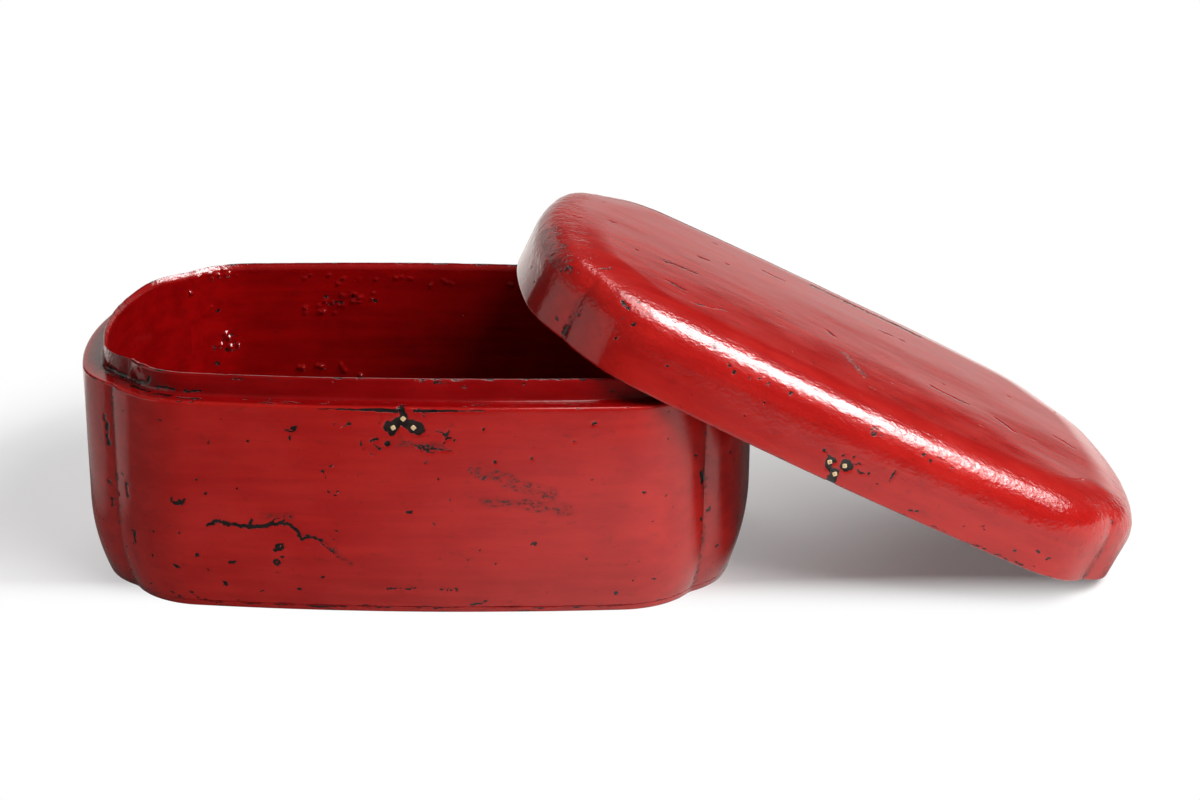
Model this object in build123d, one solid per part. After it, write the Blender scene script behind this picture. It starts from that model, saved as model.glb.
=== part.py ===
from build123d import *
import math
import os

# A red lacquered wooden box with a loose lid. The box stands on the ground and
# the lid leans against its right end, as it is set down when the box is open.
# Millimetres. The origin is the middle of the box's underside, +X runs along the
# length to the right, -Y is the front and +Z is up.

# Plan shared by the box and the lid: four bowed lobes that meet in a shallow
# upright groove at each rounded corner. Angles are the outline's turn in degrees.
LENGTH = 300.0
WIDTH = 200.0
CORNER_RADIUS = 44.0
SIDE_BOW = 5.6
END_BOW = 13.6
GROOVE_TURN_SIDE = 60.0
GROOVE_TURN_END = 34.0

# Box walls, the ledge that carries the lid, and the flange that locates it
WALL_HEIGHT = 95.0
LEDGE_WIDTH = 9.3
FLANGE_THICKNESS = 2.2
FLANGE_HEIGHT = 9.3
FLANGE_REBATE = 5.0
FOOT_HEIGHT = 34.0
FOOT_INSET = 6.8
BASE_EDGE = 3.0
BASE_THICKNESS = 8.0
BASE_RING = 20.0

# Lid, measured from the plane of its lower edge. Its outer face stands upright,
# then turns over into the top along arcs given as (radius, turn reached in degrees).
SKIRT_UPRIGHT = 17.5
SKIRT_HEIGHT = 23.0
SKIRT_THICKNESS = 8.6
SHOULDER_ARCS = [(22.0, 20.0), (12.0, 72.5), (70.0, 88.0)]

# Where the lid leans
LID_TILT = 25.2
LID_CENTRE_X = 178.4
LID_FLOOR_GAP = 0.1

# Softened edges
WALL_ROUNDING = 1.2
FLANGE_ROUNDING = 0.7

# Square plugs in the holes of a lost clasp, as (along, height, turn in degrees)
PLUG_SIDE = 2.0
PLUG_DEPTH = 8.0
BOX_PLUGS = [(-0.6, 90.2, 45.0), (-4.8, 86.2, 30.0), (3.6, 86.3, 45.0)]
LID_PLUGS = [(-5.7, 8.1, 40.0), (0.7, 9.3, 30.0), (-1.3, 4.3, 45.0)]

# Bamboo pegs that fasten the base board and the lid's top board
PEG_DIAMETER = 2.4
PEG_INSET = 8.7
BASE_PEG_FROM = 0.5
BASE_PEG_TO = 17.0
LID_PEG_INSET = 4.6
LID_PEG_FROM = 11.0
LID_PEG_TO = 27.0
SIDE_PEG_PLACES = [-75.0, 0.0, 75.0]
END_PEG_PLACES = [-38.0, 38.0]

# How far a corner arc runs past the groove before it is mitred
MITRE_SPARE = 40.0

WALL_THICKNESS = LEDGE_WIDTH + FLANGE_THICKNESS
FOOT_RADIUS = (FOOT_HEIGHT**2 + FOOT_INSET**2) / (2 * FOOT_INSET)


def bow_radii():
    """Radii of the long sides' and the ends' bows that close the plan at its length and width."""
    bow, groove_in = math.radians(SIDE_BOW), math.radians(GROOVE_TURN_SIDE)
    groove_out, last = math.radians(GROOVE_TURN_END), math.radians(90 - END_BOW)
    run_x = LENGTH / 2 - CORNER_RADIUS * (
        math.sin(groove_in) - math.sin(bow) + math.sin(last) - math.sin(groove_out)
    )
    run_y = WIDTH / 2 - CORNER_RADIUS * (
        math.cos(bow) - math.cos(groove_in) + math.cos(groove_out) - math.cos(last)
    )
    side_x, end_x = math.sin(bow), 1 - math.sin(last)
    side_y, end_y = 1 - math.cos(bow), math.cos(last)
    spread = side_x * end_y - end_x * side_y
    side_radius = (run_x * end_y - end_x * run_y) / spread
    end_radius = (side_x * run_y - run_x * side_y) / spread
    return side_radius, end_radius


SIDE_RADIUS, END_RADIUS = bow_radii()

# Centres of the plan's arcs in the front right quarter
SIDE_CENTRE = Vector(0, SIDE_RADIUS - WIDTH / 2)
END_CENTRE = Vector(LENGTH / 2 - END_RADIUS, 0)
SIDE_CORNER = SIDE_CENTRE + Vector(
    (SIDE_RADIUS - CORNER_RADIUS) * math.sin(math.radians(SIDE_BOW)),
    -(SIDE_RADIUS - CORNER_RADIUS) * math.cos(math.radians(SIDE_BOW)),
)
END_CORNER = END_CENTRE + Vector(
    (END_RADIUS - CORNER_RADIUS) * math.cos(math.radians(END_BOW)),
    -(END_RADIUS - CORNER_RADIUS) * math.sin(math.radians(END_BOW)),
)

# The upright plane of the corner groove, where neighbouring lobes are mitred
MITRE_MIDDLE = (SIDE_CORNER + END_CORNER) * 0.5
MITRE_NORMAL = (END_CORNER - SIDE_CORNER).normalized()
MITRE_OUTWARD = Vector(MITRE_NORMAL.Y, -MITRE_NORMAL.X)
CORNER_HALF_GAP = (END_CORNER - SIDE_CORNER).length / 2


def foot_inset(height):
    """How far the outer face has curved in at a height above the ground."""
    drop = max(FOOT_HEIGHT - height, 0.0)
    return FOOT_RADIUS - math.sqrt(FOOT_RADIUS**2 - drop**2)


def arc_piece(section, centre, radius, start, turn):
    """Sweep an upright section along one arc of the plan."""
    heading = math.radians(start)
    plane = Plane(
        origin=centre,
        x_dir=(math.cos(heading), math.sin(heading), 0),
        z_dir=(math.sin(heading), -math.cos(heading), 0),
    )
    return revolve(plane * section(radius), Axis(centre, (0, 0, 1)), turn)


def front_lobe(section):
    """Sweep a section along the front of the plan, from groove to groove."""
    reach = GROOVE_TURN_SIDE - SIDE_BOW + MITRE_SPARE
    middle = arc_piece(section, SIDE_CENTRE, SIDE_RADIUS, -90 - SIDE_BOW, 2 * SIDE_BOW)
    corner = arc_piece(section, SIDE_CORNER, CORNER_RADIUS, -90 + SIDE_BOW, reach)
    mitre = Plane(origin=MITRE_MIDDLE, z_dir=MITRE_NORMAL)
    corner = split(corner, bisect_by=mitre, keep=Keep.BOTTOM)
    return middle + corner + mirror(corner, about=Plane.YZ)


def right_lobe(section):
    """Sweep a section along the right end of the plan, from groove to groove."""
    reach = 90 - GROOVE_TURN_END - END_BOW + MITRE_SPARE
    middle = arc_piece(section, END_CENTRE, END_RADIUS, -END_BOW, 2 * END_BOW)
    corner = arc_piece(section, END_CORNER, CORNER_RADIUS, -END_BOW - reach, reach)
    mitre = Plane(origin=MITRE_MIDDLE, z_dir=MITRE_NORMAL)
    corner = split(corner, bisect_by=mitre, keep=Keep.TOP)
    return middle + corner + mirror(corner, about=Plane.XZ)


def four_lobes(section):
    """The same section along all four sides: front, rear, left and right."""
    front = front_lobe(section)
    right = right_lobe(section)
    return {
        "front": front,
        "rear": mirror(front, about=Plane.XZ),
        "left": mirror(right, about=Plane.YZ),
        "right": right,
    }


def plan_face(inset):
    """The whole plan as a flat face, set in from the outline."""
    corner = CORNER_RADIUS - inset
    cusp = MITRE_MIDDLE + MITRE_OUTWARD * math.sqrt(corner**2 - CORNER_HALF_GAP**2)

    def on_arc(centre, radius, angle):
        heading = math.radians(angle)
        return centre + Vector(math.cos(heading), math.sin(heading)) * radius

    def heading_of(point, centre):
        return math.degrees(math.atan2(point.Y - centre.Y, point.X - centre.X))

    side_end = on_arc(SIDE_CORNER, corner, -90 + SIDE_BOW)
    end_start = on_arc(END_CORNER, corner, -END_BOW)
    side_half = on_arc(SIDE_CORNER, corner, (-90 + SIDE_BOW + heading_of(cusp, SIDE_CORNER)) / 2)
    end_half = on_arc(END_CORNER, corner, (-END_BOW + heading_of(cusp, END_CORNER)) / 2)
    front_middle = SIDE_CENTRE + Vector(0, inset - SIDE_RADIUS)
    right_middle = END_CENTRE + Vector(END_RADIUS - inset, 0)
    corner_arcs = [
        ThreePointArc(side_end, side_half, cusp),
        ThreePointArc(cusp, end_half, end_start),
    ]
    bows = [
        ThreePointArc(Vector(-side_end.X, side_end.Y), front_middle, side_end),
        ThreePointArc(end_start, right_middle, Vector(end_start.X, -end_start.Y)),
    ]
    right_arcs = corner_arcs + [mirror(arc, about=Plane.XZ) for arc in corner_arcs]
    left_arcs = [mirror(arc, about=Plane.YZ) for arc in right_arcs]
    far_bows = [mirror(bows[0], about=Plane.XZ), mirror(bows[1], about=Plane.YZ)]
    return make_face(right_arcs + left_arcs + bows + far_bows)


def slab(inset, bottom, top):
    """An upright plate with the plan's outline, set in from it."""
    return extrude(Pos(0, 0, bottom) * plan_face(inset), top - bottom)


def closed_section(corners, arcs, radius):
    """Face through (inset, height) corners; arcs maps a corner's index to the middle of a round stretch."""
    points = [(radius - inset, height) for inset, height in corners]
    edges = []
    for index, start in enumerate(points):
        finish = points[(index + 1) % len(points)]
        if index in arcs:
            inset, height = arcs[index]
            edges.append(ThreePointArc(start, (radius - inset, height), finish))
        else:
            edges.append(Line(start, finish))
    return make_face(edges)


def rounding_middle(inset, height, rounding, towards_inset, towards_height):
    """Middle of a quarter round on the corner at (inset, height)."""
    step = rounding * (1 - math.sqrt(0.5))
    return inset + towards_inset * step, height + towards_height * step


def wall_section(radius):
    """Wall: upright, curved in at the foot, rebated at the inner top edge."""
    corners = [
        (foot_inset(BASE_EDGE), BASE_EDGE),
        (WALL_THICKNESS, BASE_EDGE),
        (WALL_THICKNESS, WALL_HEIGHT - FLANGE_REBATE),
        (LEDGE_WIDTH, WALL_HEIGHT - FLANGE_REBATE),
        (LEDGE_WIDTH, WALL_HEIGHT),
        (WALL_ROUNDING, WALL_HEIGHT),
        (0, WALL_HEIGHT - WALL_ROUNDING),
        (0, FOOT_HEIGHT),
    ]
    foot_middle = (FOOT_HEIGHT + BASE_EDGE) / 2
    arcs = {
        5: rounding_middle(0, WALL_HEIGHT, WALL_ROUNDING, 1, -1),
        7: (foot_inset(foot_middle), foot_middle),
    }
    return closed_section(corners, arcs, radius)


def flange_section(radius):
    """Flange strip: stands in the wall's rebate and rises above the ledge."""
    top = WALL_HEIGHT + FLANGE_HEIGHT
    corners = [
        (LEDGE_WIDTH, WALL_HEIGHT - FLANGE_REBATE),
        (WALL_THICKNESS, WALL_HEIGHT - FLANGE_REBATE),
        (WALL_THICKNESS, top - FLANGE_ROUNDING),
        (WALL_THICKNESS - FLANGE_ROUNDING, top),
        (LEDGE_WIDTH + FLANGE_ROUNDING, top),
        (LEDGE_WIDTH, top - FLANGE_ROUNDING),
    ]
    arcs = {
        2: rounding_middle(WALL_THICKNESS, top, FLANGE_ROUNDING, -1, -1),
        4: rounding_middle(LEDGE_WIDTH, top, FLANGE_ROUNDING, 1, -1),
    }
    return closed_section(corners, arcs, radius)


def base_edge_section(radius):
    """Thin edge of the base board under the walls, in line with their curve."""
    corners = [
        (FOOT_INSET, 0),
        (BASE_RING, 0),
        (BASE_RING, BASE_EDGE),
        (foot_inset(BASE_EDGE), BASE_EDGE),
    ]
    arcs = {3: (foot_inset(BASE_EDGE / 2), BASE_EDGE / 2)}
    return closed_section(corners, arcs, radius)


def shoulder_point(turn):
    """(inset, height) on the lid's outer face where it has turned over by an angle in degrees."""
    inset, height, reached = 0.0, SKIRT_UPRIGHT, 0.0
    for arc_radius, arc_end in SHOULDER_ARCS:
        start, end = math.radians(reached), math.radians(min(turn, arc_end))
        inset += arc_radius * (math.cos(start) - math.cos(end))
        height += arc_radius * (math.sin(end) - math.sin(start))
        reached = arc_end
        if turn <= arc_end:
            break
    return inset, height


# Turn of the lid's outer face where its skirt meets its top board, and where its top goes flat
JOINT_TURN = math.degrees(math.asin((SKIRT_HEIGHT - SKIRT_UPRIGHT) / SHOULDER_ARCS[0][0]))
TOP_TURN = SHOULDER_ARCS[-1][1]
SHOULDER_WIDTH, LID_HEIGHT = shoulder_point(TOP_TURN)


def skirt_section(radius):
    """Lid skirt: a board with softened lower edges, its outer face turning over at the top."""
    corners = [
        (WALL_ROUNDING, 0),
        (SKIRT_THICKNESS - FLANGE_ROUNDING, 0),
        (SKIRT_THICKNESS, FLANGE_ROUNDING),
        (SKIRT_THICKNESS, SKIRT_HEIGHT),
        shoulder_point(JOINT_TURN),
        (0, SKIRT_UPRIGHT),
        (0, WALL_ROUNDING),
    ]
    arcs = {
        1: rounding_middle(SKIRT_THICKNESS, 0, FLANGE_ROUNDING, -1, 1),
        4: shoulder_point(JOINT_TURN / 2),
        6: rounding_middle(0, 0, WALL_ROUNDING, 1, 1),
    }
    return closed_section(corners, arcs, radius)


def shoulder_section(radius):
    """Rounded shoulder of the lid's top board, from the skirt joint to the flat of the top."""
    stops = [JOINT_TURN] + [arc_end for _, arc_end in SHOULDER_ARCS]
    corners = [shoulder_point(turn) for turn in stops] + [(SHOULDER_WIDTH, SKIRT_HEIGHT)]
    arcs = {}
    for index, (turn, next_turn) in enumerate(zip(stops, stops[1:])):
        arcs[index] = shoulder_point((turn + next_turn) / 2)
    return closed_section(corners, arcs, radius)


def peg_places(inset):
    """Places of the hidden pegs, set in from the outline on all four sides."""
    places = []
    for along in SIDE_PEG_PLACES:
        depth = math.sqrt((SIDE_RADIUS - inset) ** 2 - along**2) - SIDE_CENTRE.Y
        places += [(along, -depth), (along, depth)]
    for across in END_PEG_PLACES:
        reach = math.sqrt((END_RADIUS - inset) ** 2 - across**2) + END_CENTRE.X
        places += [(-reach, across), (reach, across)]
    return places


def pegs(inset, bottom, top):
    """Round pegs, as separate solids."""
    peg = extrude(Circle(PEG_DIAMETER / 2), top - bottom)
    return [Pos(x, y, bottom) * peg for x, y in peg_places(inset)]


def plugs(places):
    """Square plugs let into the front face, as separate solids."""
    face = Plane(origin=(0, -WIDTH / 2, 0), x_dir=(1, 0, 0), z_dir=(0, 1, 0))
    made = []
    for along, height, turn in places:
        square = face * Pos(along, -height) * Rot(0, 0, turn) * Rectangle(PLUG_SIDE, PLUG_SIDE)
        made.append(extrude(square, PLUG_DEPTH))
    return made


def bored(piece, cutters):
    """A piece with holes where the pegs or plugs go."""
    for cutter in cutters:
        piece = piece - cutter
    return piece


def make_box():
    """The standing box: base board, four walls, four flange strips and their fastenings."""
    base_pegs = pegs(PEG_INSET, BASE_PEG_FROM, BASE_PEG_TO)
    peg_holes = pegs(PEG_INSET, 0, BASE_PEG_TO)
    clasp_plugs = plugs(BOX_PLUGS)
    nodes = {}

    base = slab(BASE_RING, 0, BASE_EDGE) + slab(WALL_THICKNESS, BASE_EDGE, BASE_THICKNESS)
    for edge in four_lobes(base_edge_section).values():
        base = base + edge
    nodes["base_board"] = bored(base, peg_holes)

    for side, wall in four_lobes(wall_section).items():
        nodes[side + "_wall"] = bored(wall, peg_holes)
    nodes["front_wall"] = bored(nodes["front_wall"], clasp_plugs)
    for side, strip in four_lobes(flange_section).items():
        nodes[side + "_flange"] = strip
    nodes["base_pegs"] = Compound(base_pegs)
    nodes["clasp_plugs"] = Compound(clasp_plugs)
    return nodes


def make_lid():
    """The lid in its own frame, with its lower edge in the plane Z = 0."""
    lid_pegs = pegs(LID_PEG_INSET, LID_PEG_FROM, LID_PEG_TO)
    clasp_plugs = plugs(LID_PLUGS)
    nodes = {}

    top = slab(SHOULDER_WIDTH, SKIRT_HEIGHT, LID_HEIGHT)
    for shoulder in four_lobes(shoulder_section).values():
        top = top + shoulder
    nodes["lid_top_board"] = bored(top, lid_pegs)

    for side, skirt in four_lobes(skirt_section).items():
        nodes["lid_" + side + "_skirt"] = bored(skirt, lid_pegs)
    nodes["lid_front_skirt"] = bored(nodes["lid_front_skirt"], clasp_plugs)
    nodes["lid_pegs"] = Compound(lid_pegs)
    nodes["lid_clasp_plugs"] = Compound(clasp_plugs)
    return nodes


def lid_place():
    """Where the lid leans: its right end's rounded lower edge stands on the ground."""
    tilt = math.radians(LID_TILT)
    edge_x = LENGTH / 2 - WALL_ROUNDING
    height = edge_x * math.sin(tilt) - WALL_ROUNDING * math.cos(tilt) + WALL_ROUNDING
    return Location((LID_CENTRE_X, 0, height + LID_FLOOR_GAP), (0, LID_TILT, 0))


def main():
    os.makedirs("parts", exist_ok=True)
    nodes = make_box()
    place = lid_place()
    for name, piece in make_lid().items():
        nodes[name] = place * piece
    for name, piece in nodes.items():
        export_step(piece, os.path.join("parts", name + ".step"))


main()
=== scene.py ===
import math
from collections import namedtuple

import bpy
import numpy as np
from mathutils import Matrix


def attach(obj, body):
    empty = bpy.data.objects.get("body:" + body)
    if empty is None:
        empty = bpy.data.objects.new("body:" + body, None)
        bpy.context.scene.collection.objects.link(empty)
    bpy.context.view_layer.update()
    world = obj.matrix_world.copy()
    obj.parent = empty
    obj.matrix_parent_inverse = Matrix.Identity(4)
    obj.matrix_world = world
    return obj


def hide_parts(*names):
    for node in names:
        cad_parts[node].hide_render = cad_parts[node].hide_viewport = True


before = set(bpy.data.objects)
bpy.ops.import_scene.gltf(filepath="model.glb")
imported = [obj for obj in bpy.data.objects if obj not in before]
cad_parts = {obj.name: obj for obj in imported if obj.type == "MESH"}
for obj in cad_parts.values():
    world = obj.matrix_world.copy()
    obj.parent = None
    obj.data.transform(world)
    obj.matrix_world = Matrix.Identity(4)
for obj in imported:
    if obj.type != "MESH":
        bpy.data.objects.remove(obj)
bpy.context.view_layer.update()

# Lengths are millimetres and angles degrees, but the stage, lamps and camera are in the frame's metres.
MM = 0.001

# Plan shared by the box and the lid: four bowed lobes that meet in corner grooves
LENGTH = 300.0
WIDTH = 200.0
CORNER_RADIUS = 44.0
SIDE_BOW = 5.6
END_BOW = 13.6
GROOVE_TURN_SIDE = 60.0
GROOVE_TURN_END = 34.0
VALLEY_RADIUS = 3.0

# Box
WALL_HEIGHT = 95.0
LEDGE_WIDTH = 9.3
FLANGE_THICKNESS = 2.2
FLANGE_HEIGHT = 9.3
FLANGE_REBATE = 5.0
FOOT_HEIGHT = 34.0
FOOT_INSET = 6.8
BASE_EDGE = 3.0
BASE_THICKNESS = 8.0
BASE_RING = 20.0
WALL_THICKNESS = LEDGE_WIDTH + FLANGE_THICKNESS
FLANGE_MIDDLE = LEDGE_WIDTH + FLANGE_THICKNESS / 2
FLANGE_TOP = WALL_HEIGHT + FLANGE_HEIGHT
FOOT_RADIUS = (FOOT_HEIGHT**2 + FOOT_INSET**2) / (2 * FOOT_INSET)

# Lid, in its own frame: lower edge in the plane Z = 0, shoulder arcs as (radius, turn reached)
SKIRT_UPRIGHT = 17.5
SKIRT_HEIGHT = 23.0
SKIRT_THICKNESS = 8.6
SHOULDER_ARCS = [(22.0, 20.0), (12.0, 72.5), (70.0, 88.0)]
LID_CROWN = 1.2
GROOVE_FADES = (26.5, 33.0)
LID_TILT = 25.2
LID_CENTRE_X = 178.4
LID_FLOOR_GAP = 0.1

# Softened edges of the lacquer
RIM_ROUNDING = 1.2
FLANGE_ROUNDING = 0.2
FLANGE_BEVEL = 1.6
FLANGE_BEVEL_FALL = 2.5
FLANGE_BEVEL_ROUNDING = 4.0
FRONT_CHAMFER, FRONT_CHAMFER_FALL = 0.5, 0.9
FRONT_TOP_WIDTH, FRONT_TOP_FALL = 1.0, 0.1
FLANGE_LEAN = 0.3
FLANGE_SPREAD = 0.5
SEAM_ROUNDING = 0.25
LACQUER_FILLET = 1.5
LIP_TURN, LIP_PROUD = 2.0, 0.02
FLANGE_BUMP = (-113.0, -76.0)
FLANGE_BUMP_HEIGHT, FLANGE_BUMP_WIDTH = 0.7, 3.0
FLANGE_BUMP_RISE = (100, 104)

# The mesh's spacing on faces that show and on faces that hardly do, and points along small curves
FINE = 0.8
COARSE = 2.2
CREASE = 40.0
LEAST_ARC_RUNS = 3
ROUNDING_STEPS = 6
FILLET_POINTS = 6
SKIRT_TURN_POINTS = 8
BASE_EDGE_POINTS = 4

# Plugs in the lost clasp's nail holes, as (along, height, turn); their rings as (share of width, depth)
PLUG_SIDE = 2.0
PLUG_DEPTH = 8.0
PLUG_SQUARENESS = 6.0
PLUG_SPOKES = 24
PLUG_RINGS = [
    (1.0, PLUG_DEPTH), (1.0, 0.4), (0.97, 0.18), (0.88, 0.06),
    (0.7, 0.0), (0.45, -0.03), (0.22, -0.02), (0.15, 0.2),
]
BOX_PLUGS = [(-0.6, 90.2, 45.0), (-4.8, 86.2, 30.0), (3.6, 86.3, 45.0)]
LID_PLUGS = [(-5.7, 8.1, 40.0), (0.7, 9.3, 30.0), (-1.3, 4.3, 45.0)]

# Relief of the lacquer: waves along the grain and hammered dents, as (height, size along x, y and z)
WAVES = [(0.15, (52, 34, 34)), (0.03, (19, 10, 10)), (0.007, (9, 4, 4))]
DENTS = [(0.07, (7, 5, 5)), (0.075, (3.4, 2.6, 2.6))]
BOX_SEED, LID_SEED, DENT_SEED = 11, 47, 5

# How hammered the pieces are, from 0 to 1, and where that changes
LID_TOP_ROUGH, LID_ROUGH_INSETS = 0.04, (9.0, 20.0)
SKIRT_ROUGH, SKIRT_ROUGH_FROM = 0.2, 8.0
FLANGE_ROUGH, FLANGE_ROUGH_GAIN, FRONT_FLANGE_ROUGH = 0.1, 0.8, 0.12
WALL_ROUGH = 0.15

# Marks of use: their edges, depth and wobble as (size, reach)
SPOT_SPREAD = 0.15
ARC_POINTS = 13
MARK_SOFTNESS = 1.6
RIM_WOBBLE, RIM_SOFTNESS = 0.15, 0.5
MARK_DEPTH, MARK_EDGE, BLISTER_EDGE = 0.24, (0.4, 0.62), (0.4, 0.68)
MARK_WOBBLES = [(5.0, 0.8), (1.9, 0.6)]
WOBBLE_SEEDS = (71, 72)
INNER_FROM = 5.0

# Strewn specks, clustered blots, and the cracks, blots and chips of faces that aren't in view
SPECK_RUN, SPECK_RUN_ACROSS, SPECK_WIDTH, SPECK_WIDTH_GAIN = 0.7, 0.35, 0.1, 0.45
BLOT_RUN, BLOT_WIDTH, BLOT_WIDTH_GAIN = (1.0, 0.4), 0.2, 0.5
CRACK_STARTS = [(-0.7, 0.3), (0.0, 0.8)]
CRACK_STEPS, CRACK_STEP, CRACK_STEP_VARIES, CRACK_WIDTH = 7, (6.0, -1.1), (2.0, 0.6), 0.4
WEAR_BLOTS, WEAR_BLOT_WIDTHS = 9, (0.2, 0.9)
CHIP_SPACING, CHIP_WIDTHS, CHIP_ENDS = 14.0, (0.1, 0.5), [(0, 6), (5, 13)]

# How far wear reaches from edges
RIM_WEAR, FOOT_WEAR, FLANGE_WEAR, SKIRT_WEAR, BASE_WEAR = 2.4, 2.0, 2.2, 2.6, 4.0
FOOT_MARGIN = 1.0

# Dirt at the flange's foot, more of it at the left front corner, and on rubbed patches; in the grooves, dirt
# together with painted shade of the crease
FLANGE_DIRT, FLANGE_DIRT_VARIES, FLANGE_DIRT_SIZE = 0.42, 0.25, (30, 30, 30)
FLANGE_DIRT_WIDTH, FLANGE_DIRT_HEIGHT = 2.4, 2.6
DIRTY_CORNER, DIRTY_CORNER_REACH, DIRTY_CORNER_GAIN = (-128, -62), (24, 36), 0.75
GROOVE_DIRT_AND_SHADE, GROOVE_DIRT_AND_SHADE_VARIES, GROOVE_DIRT_AND_SHADE_SIZE = 0.8, 0.2, (9, 9, 9)
GROOVE_DIRT_AND_SHADE_EDGE, GROOVE_DIRT_AND_SHADE_DEPTH = (0.6, 3.0), 2.0
RUBBED_DIRT, RUBBED_EDGE = 0.85, (0.2, 0.8)
FLANGE_DIRT_SEED, GROOVE_DIRT_AND_SHADE_SEED = 91, 92

# Depths over which the lacquer passes to the deeper red where the closed lid covers it, a red that is also
# painted shade of the inside, the ledge and the undersides; below the flange's inner top the lighter open red
# stays over a fall, as a painted light band
WALL_SHELTER_AND_SHADE, SKIRT_SHELTER_AND_SHADE = (1.0, 3.0), (2.0, 4.0)
FLANGE_PAINTED_LIGHT_FALL = FLANGE_BEVEL_FALL + 1.0

# Colours: pairs are the ends of a range
OPEN_RED = [(0.345, 0.006, 0.005, 1), (0.43, 0.010, 0.007, 1)]
# The kept red is also painted shade of the inside, the ledge and the undersides
KEPT_RED_AND_SHADE = [(0.20, 0.0008, 0.0015, 1), (0.29, 0.0015, 0.002, 1)]
STREAK_RED = (0.21, 0.002, 0.003, 1)
DIRT_AND_SHADE_RED = (0.09, 0.006, 0.006, 1)
BLACK_GROUND = [(0.006, 0.005, 0.005, 1), (0.022, 0.012, 0.011, 1)]
WOOD_COLOURS = [(0.60, 0.40, 0.19, 1), (0.83, 0.65, 0.40, 1)]
WOOD_STAIN = (0.30, 0.17, 0.07, 1)
PAPER = (0.9, 0.9, 0.9, 1)
WARM_WHITE = (1.0, 0.95, 0.91, 1)
WHITE = (1, 1, 1, 1)

# Noise patterns of the finishes, as (size along x, y and z, detail, roughness)
GRAINS = {
    "streak": ((70, 5, 5), 5, 0.55),
    "fine_streak": ((24, 1.2, 1.2), 3, 0.5),
    "cloud": ((26, 17, 17), 4, 0.6),
    "ragged": ((1.9, 1.3, 1.3), 5, 0.7),
    "flake": ((6.0, 2.6, 2.6), 4, 0.7),
    "smudge": ((7, 3.5, 3.5), 3, 0.6),
    "dimples": ((2.2, 1.6, 1.6), 2, 0.5),
    "fibre": ((0.22, 3, 0.22), 3, 0.5),
    "stain": ((1.4, 1.4, 1.4), 3, 0.5),
}

# Shares of the patterns in the finishes, and the limits between which each passes from none to full
TONE_STREAK, TONE_CLOUD, TONE_LIMITS = 0.55, 0.45, (0.36, 0.64)
STREAK_LIMITS, STREAK_MOST = (0.56, 0.8), 0.2
TORN_RAGGED, CHIP_LIMITS = 0.8, (0.48, 0.52)
HALO_LIMITS, HALO_MOST = (0.40, 0.5), 0.35
EDGE_SHARE, EDGE_LIMITS = 0.30, (0.82, 0.87)
RUB_DIRT_AND_SHADE, RUB_RAGGED, RUB_FLAKE, RUB_LIMITS, RUB_BLACK = 0.19, 0.7, 0.3, (0.68, 0.72), 0.75
DIRT_AND_SHADE_LIMITS, DIRT_AND_SHADE_RANGE = (0.35, 0.7), (0.08, 0.6)
SMUDGE_LIMITS, SMUDGE_MOST = (0.6, 0.74), 0.3
GROUND_LIMITS = (0.35, 0.65)
GLOSS_LIMITS, GLOSS_RANGE, DULL_GAIN, HAMMERED_GAIN = (0.25, 0.75), (0.10, 0.18), 0.08, 0.05
LACQUER_SPECULAR = 0.6
STREAK_BUMP, CLOUD_BUMP, RAGGED_BUMP, DIMPLE_BUMP, CHIP_BUMP = 0.003, 0.03, 0.005, 0.30, -0.10
FIBRE_LIMITS, STAIN_LIMITS, STAIN_MOST = (0.3, 0.7), (0.5, 0.75), 0.5
WOOD_GLOSS_LIMITS, WOOD_GLOSS_RANGE, FIBRE_BUMP = (0.2, 0.8), (0.45, 0.65), 0.05

# Fine dots of the lacquer, as (spacing, share of cells, radius)
DOTS = [(13.0, 0.2, 0.7), (5.0, 0.1, 0.5)]
DOT_SOFTNESS, DOT_BLACK = 0.2, 0.5

# Stage, in metres: a floor, and a wall that curves round the back and the sides between two bearings
FLOOR_REACH = 6.0
WALL_REACH, WALL_TOP, WALL_SUNK = 2.2, 1.2, 0.01
WALL_FROM, WALL_TO, WALL_SEGMENTS = -128.0, 100.0, 64

# Where the floor glows to the eye: outside two rounds, and in front of the object
GlowRing = namedtuple("GlowRing", "centre start finish low high")
GLOW_RINGS = [GlowRing((0.265, -0.04), 0.02, 0.23, 0.10, 0.52), GlowRing((0.05, 0.0), 0.21, 0.37, 0.0, 1.0)]
FRONT_GLOW_Y = (-0.092, -0.035)

# How bright the floor is in gloss, as painted light and shadow: ahead, to the right, beside the left end,
# behind, and a painted shadow under the lid
AHEAD_GLOSS_Y, AHEAD_GLOSS_LEAST = (-0.5, -0.16), 0.02
RIGHT_GLOSS_X, RIGHT_GLOSS_LEAST = (-0.08, 0.16), 0.12
LEFT_GLOSS_X, LEFT_GLOSS_Y, LEFT_GLOSS = (-0.17, -0.24), (-0.075, -0.025), 0.42
REAR_GLOSS_Y, REAR_GLOSS = (0.10, 0.22), 1.2
PAINTED_LID_SHADOW_Y, PAINTED_LID_SHADOW_X, PAINTED_LID_SHADOW_DARK = (-0.08, -0.045), [(0.12, 0.16), (0.35, 0.30)], 0.94

# Backdrop in gloss: lit below a slanting edge with a cap that rises on the left, and dark in a gap there
BACKDROP_EDGE, BACKDROP_SLOPE, BACKDROP_CAP, BACKDROP_SOFT = 0.91, -0.66, 0.68, 0.07
BACKDROP_LEVEL, BACKDROP_DARK, BACKDROP_GAP_LEVEL = 0.66, 0.03, 0.06
BACKDROP_LEFT_RISE = (-0.47, -0.62)
BACKDROP_GAP = [(0.5, 0.75), (1.8, 1.65)]

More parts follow.
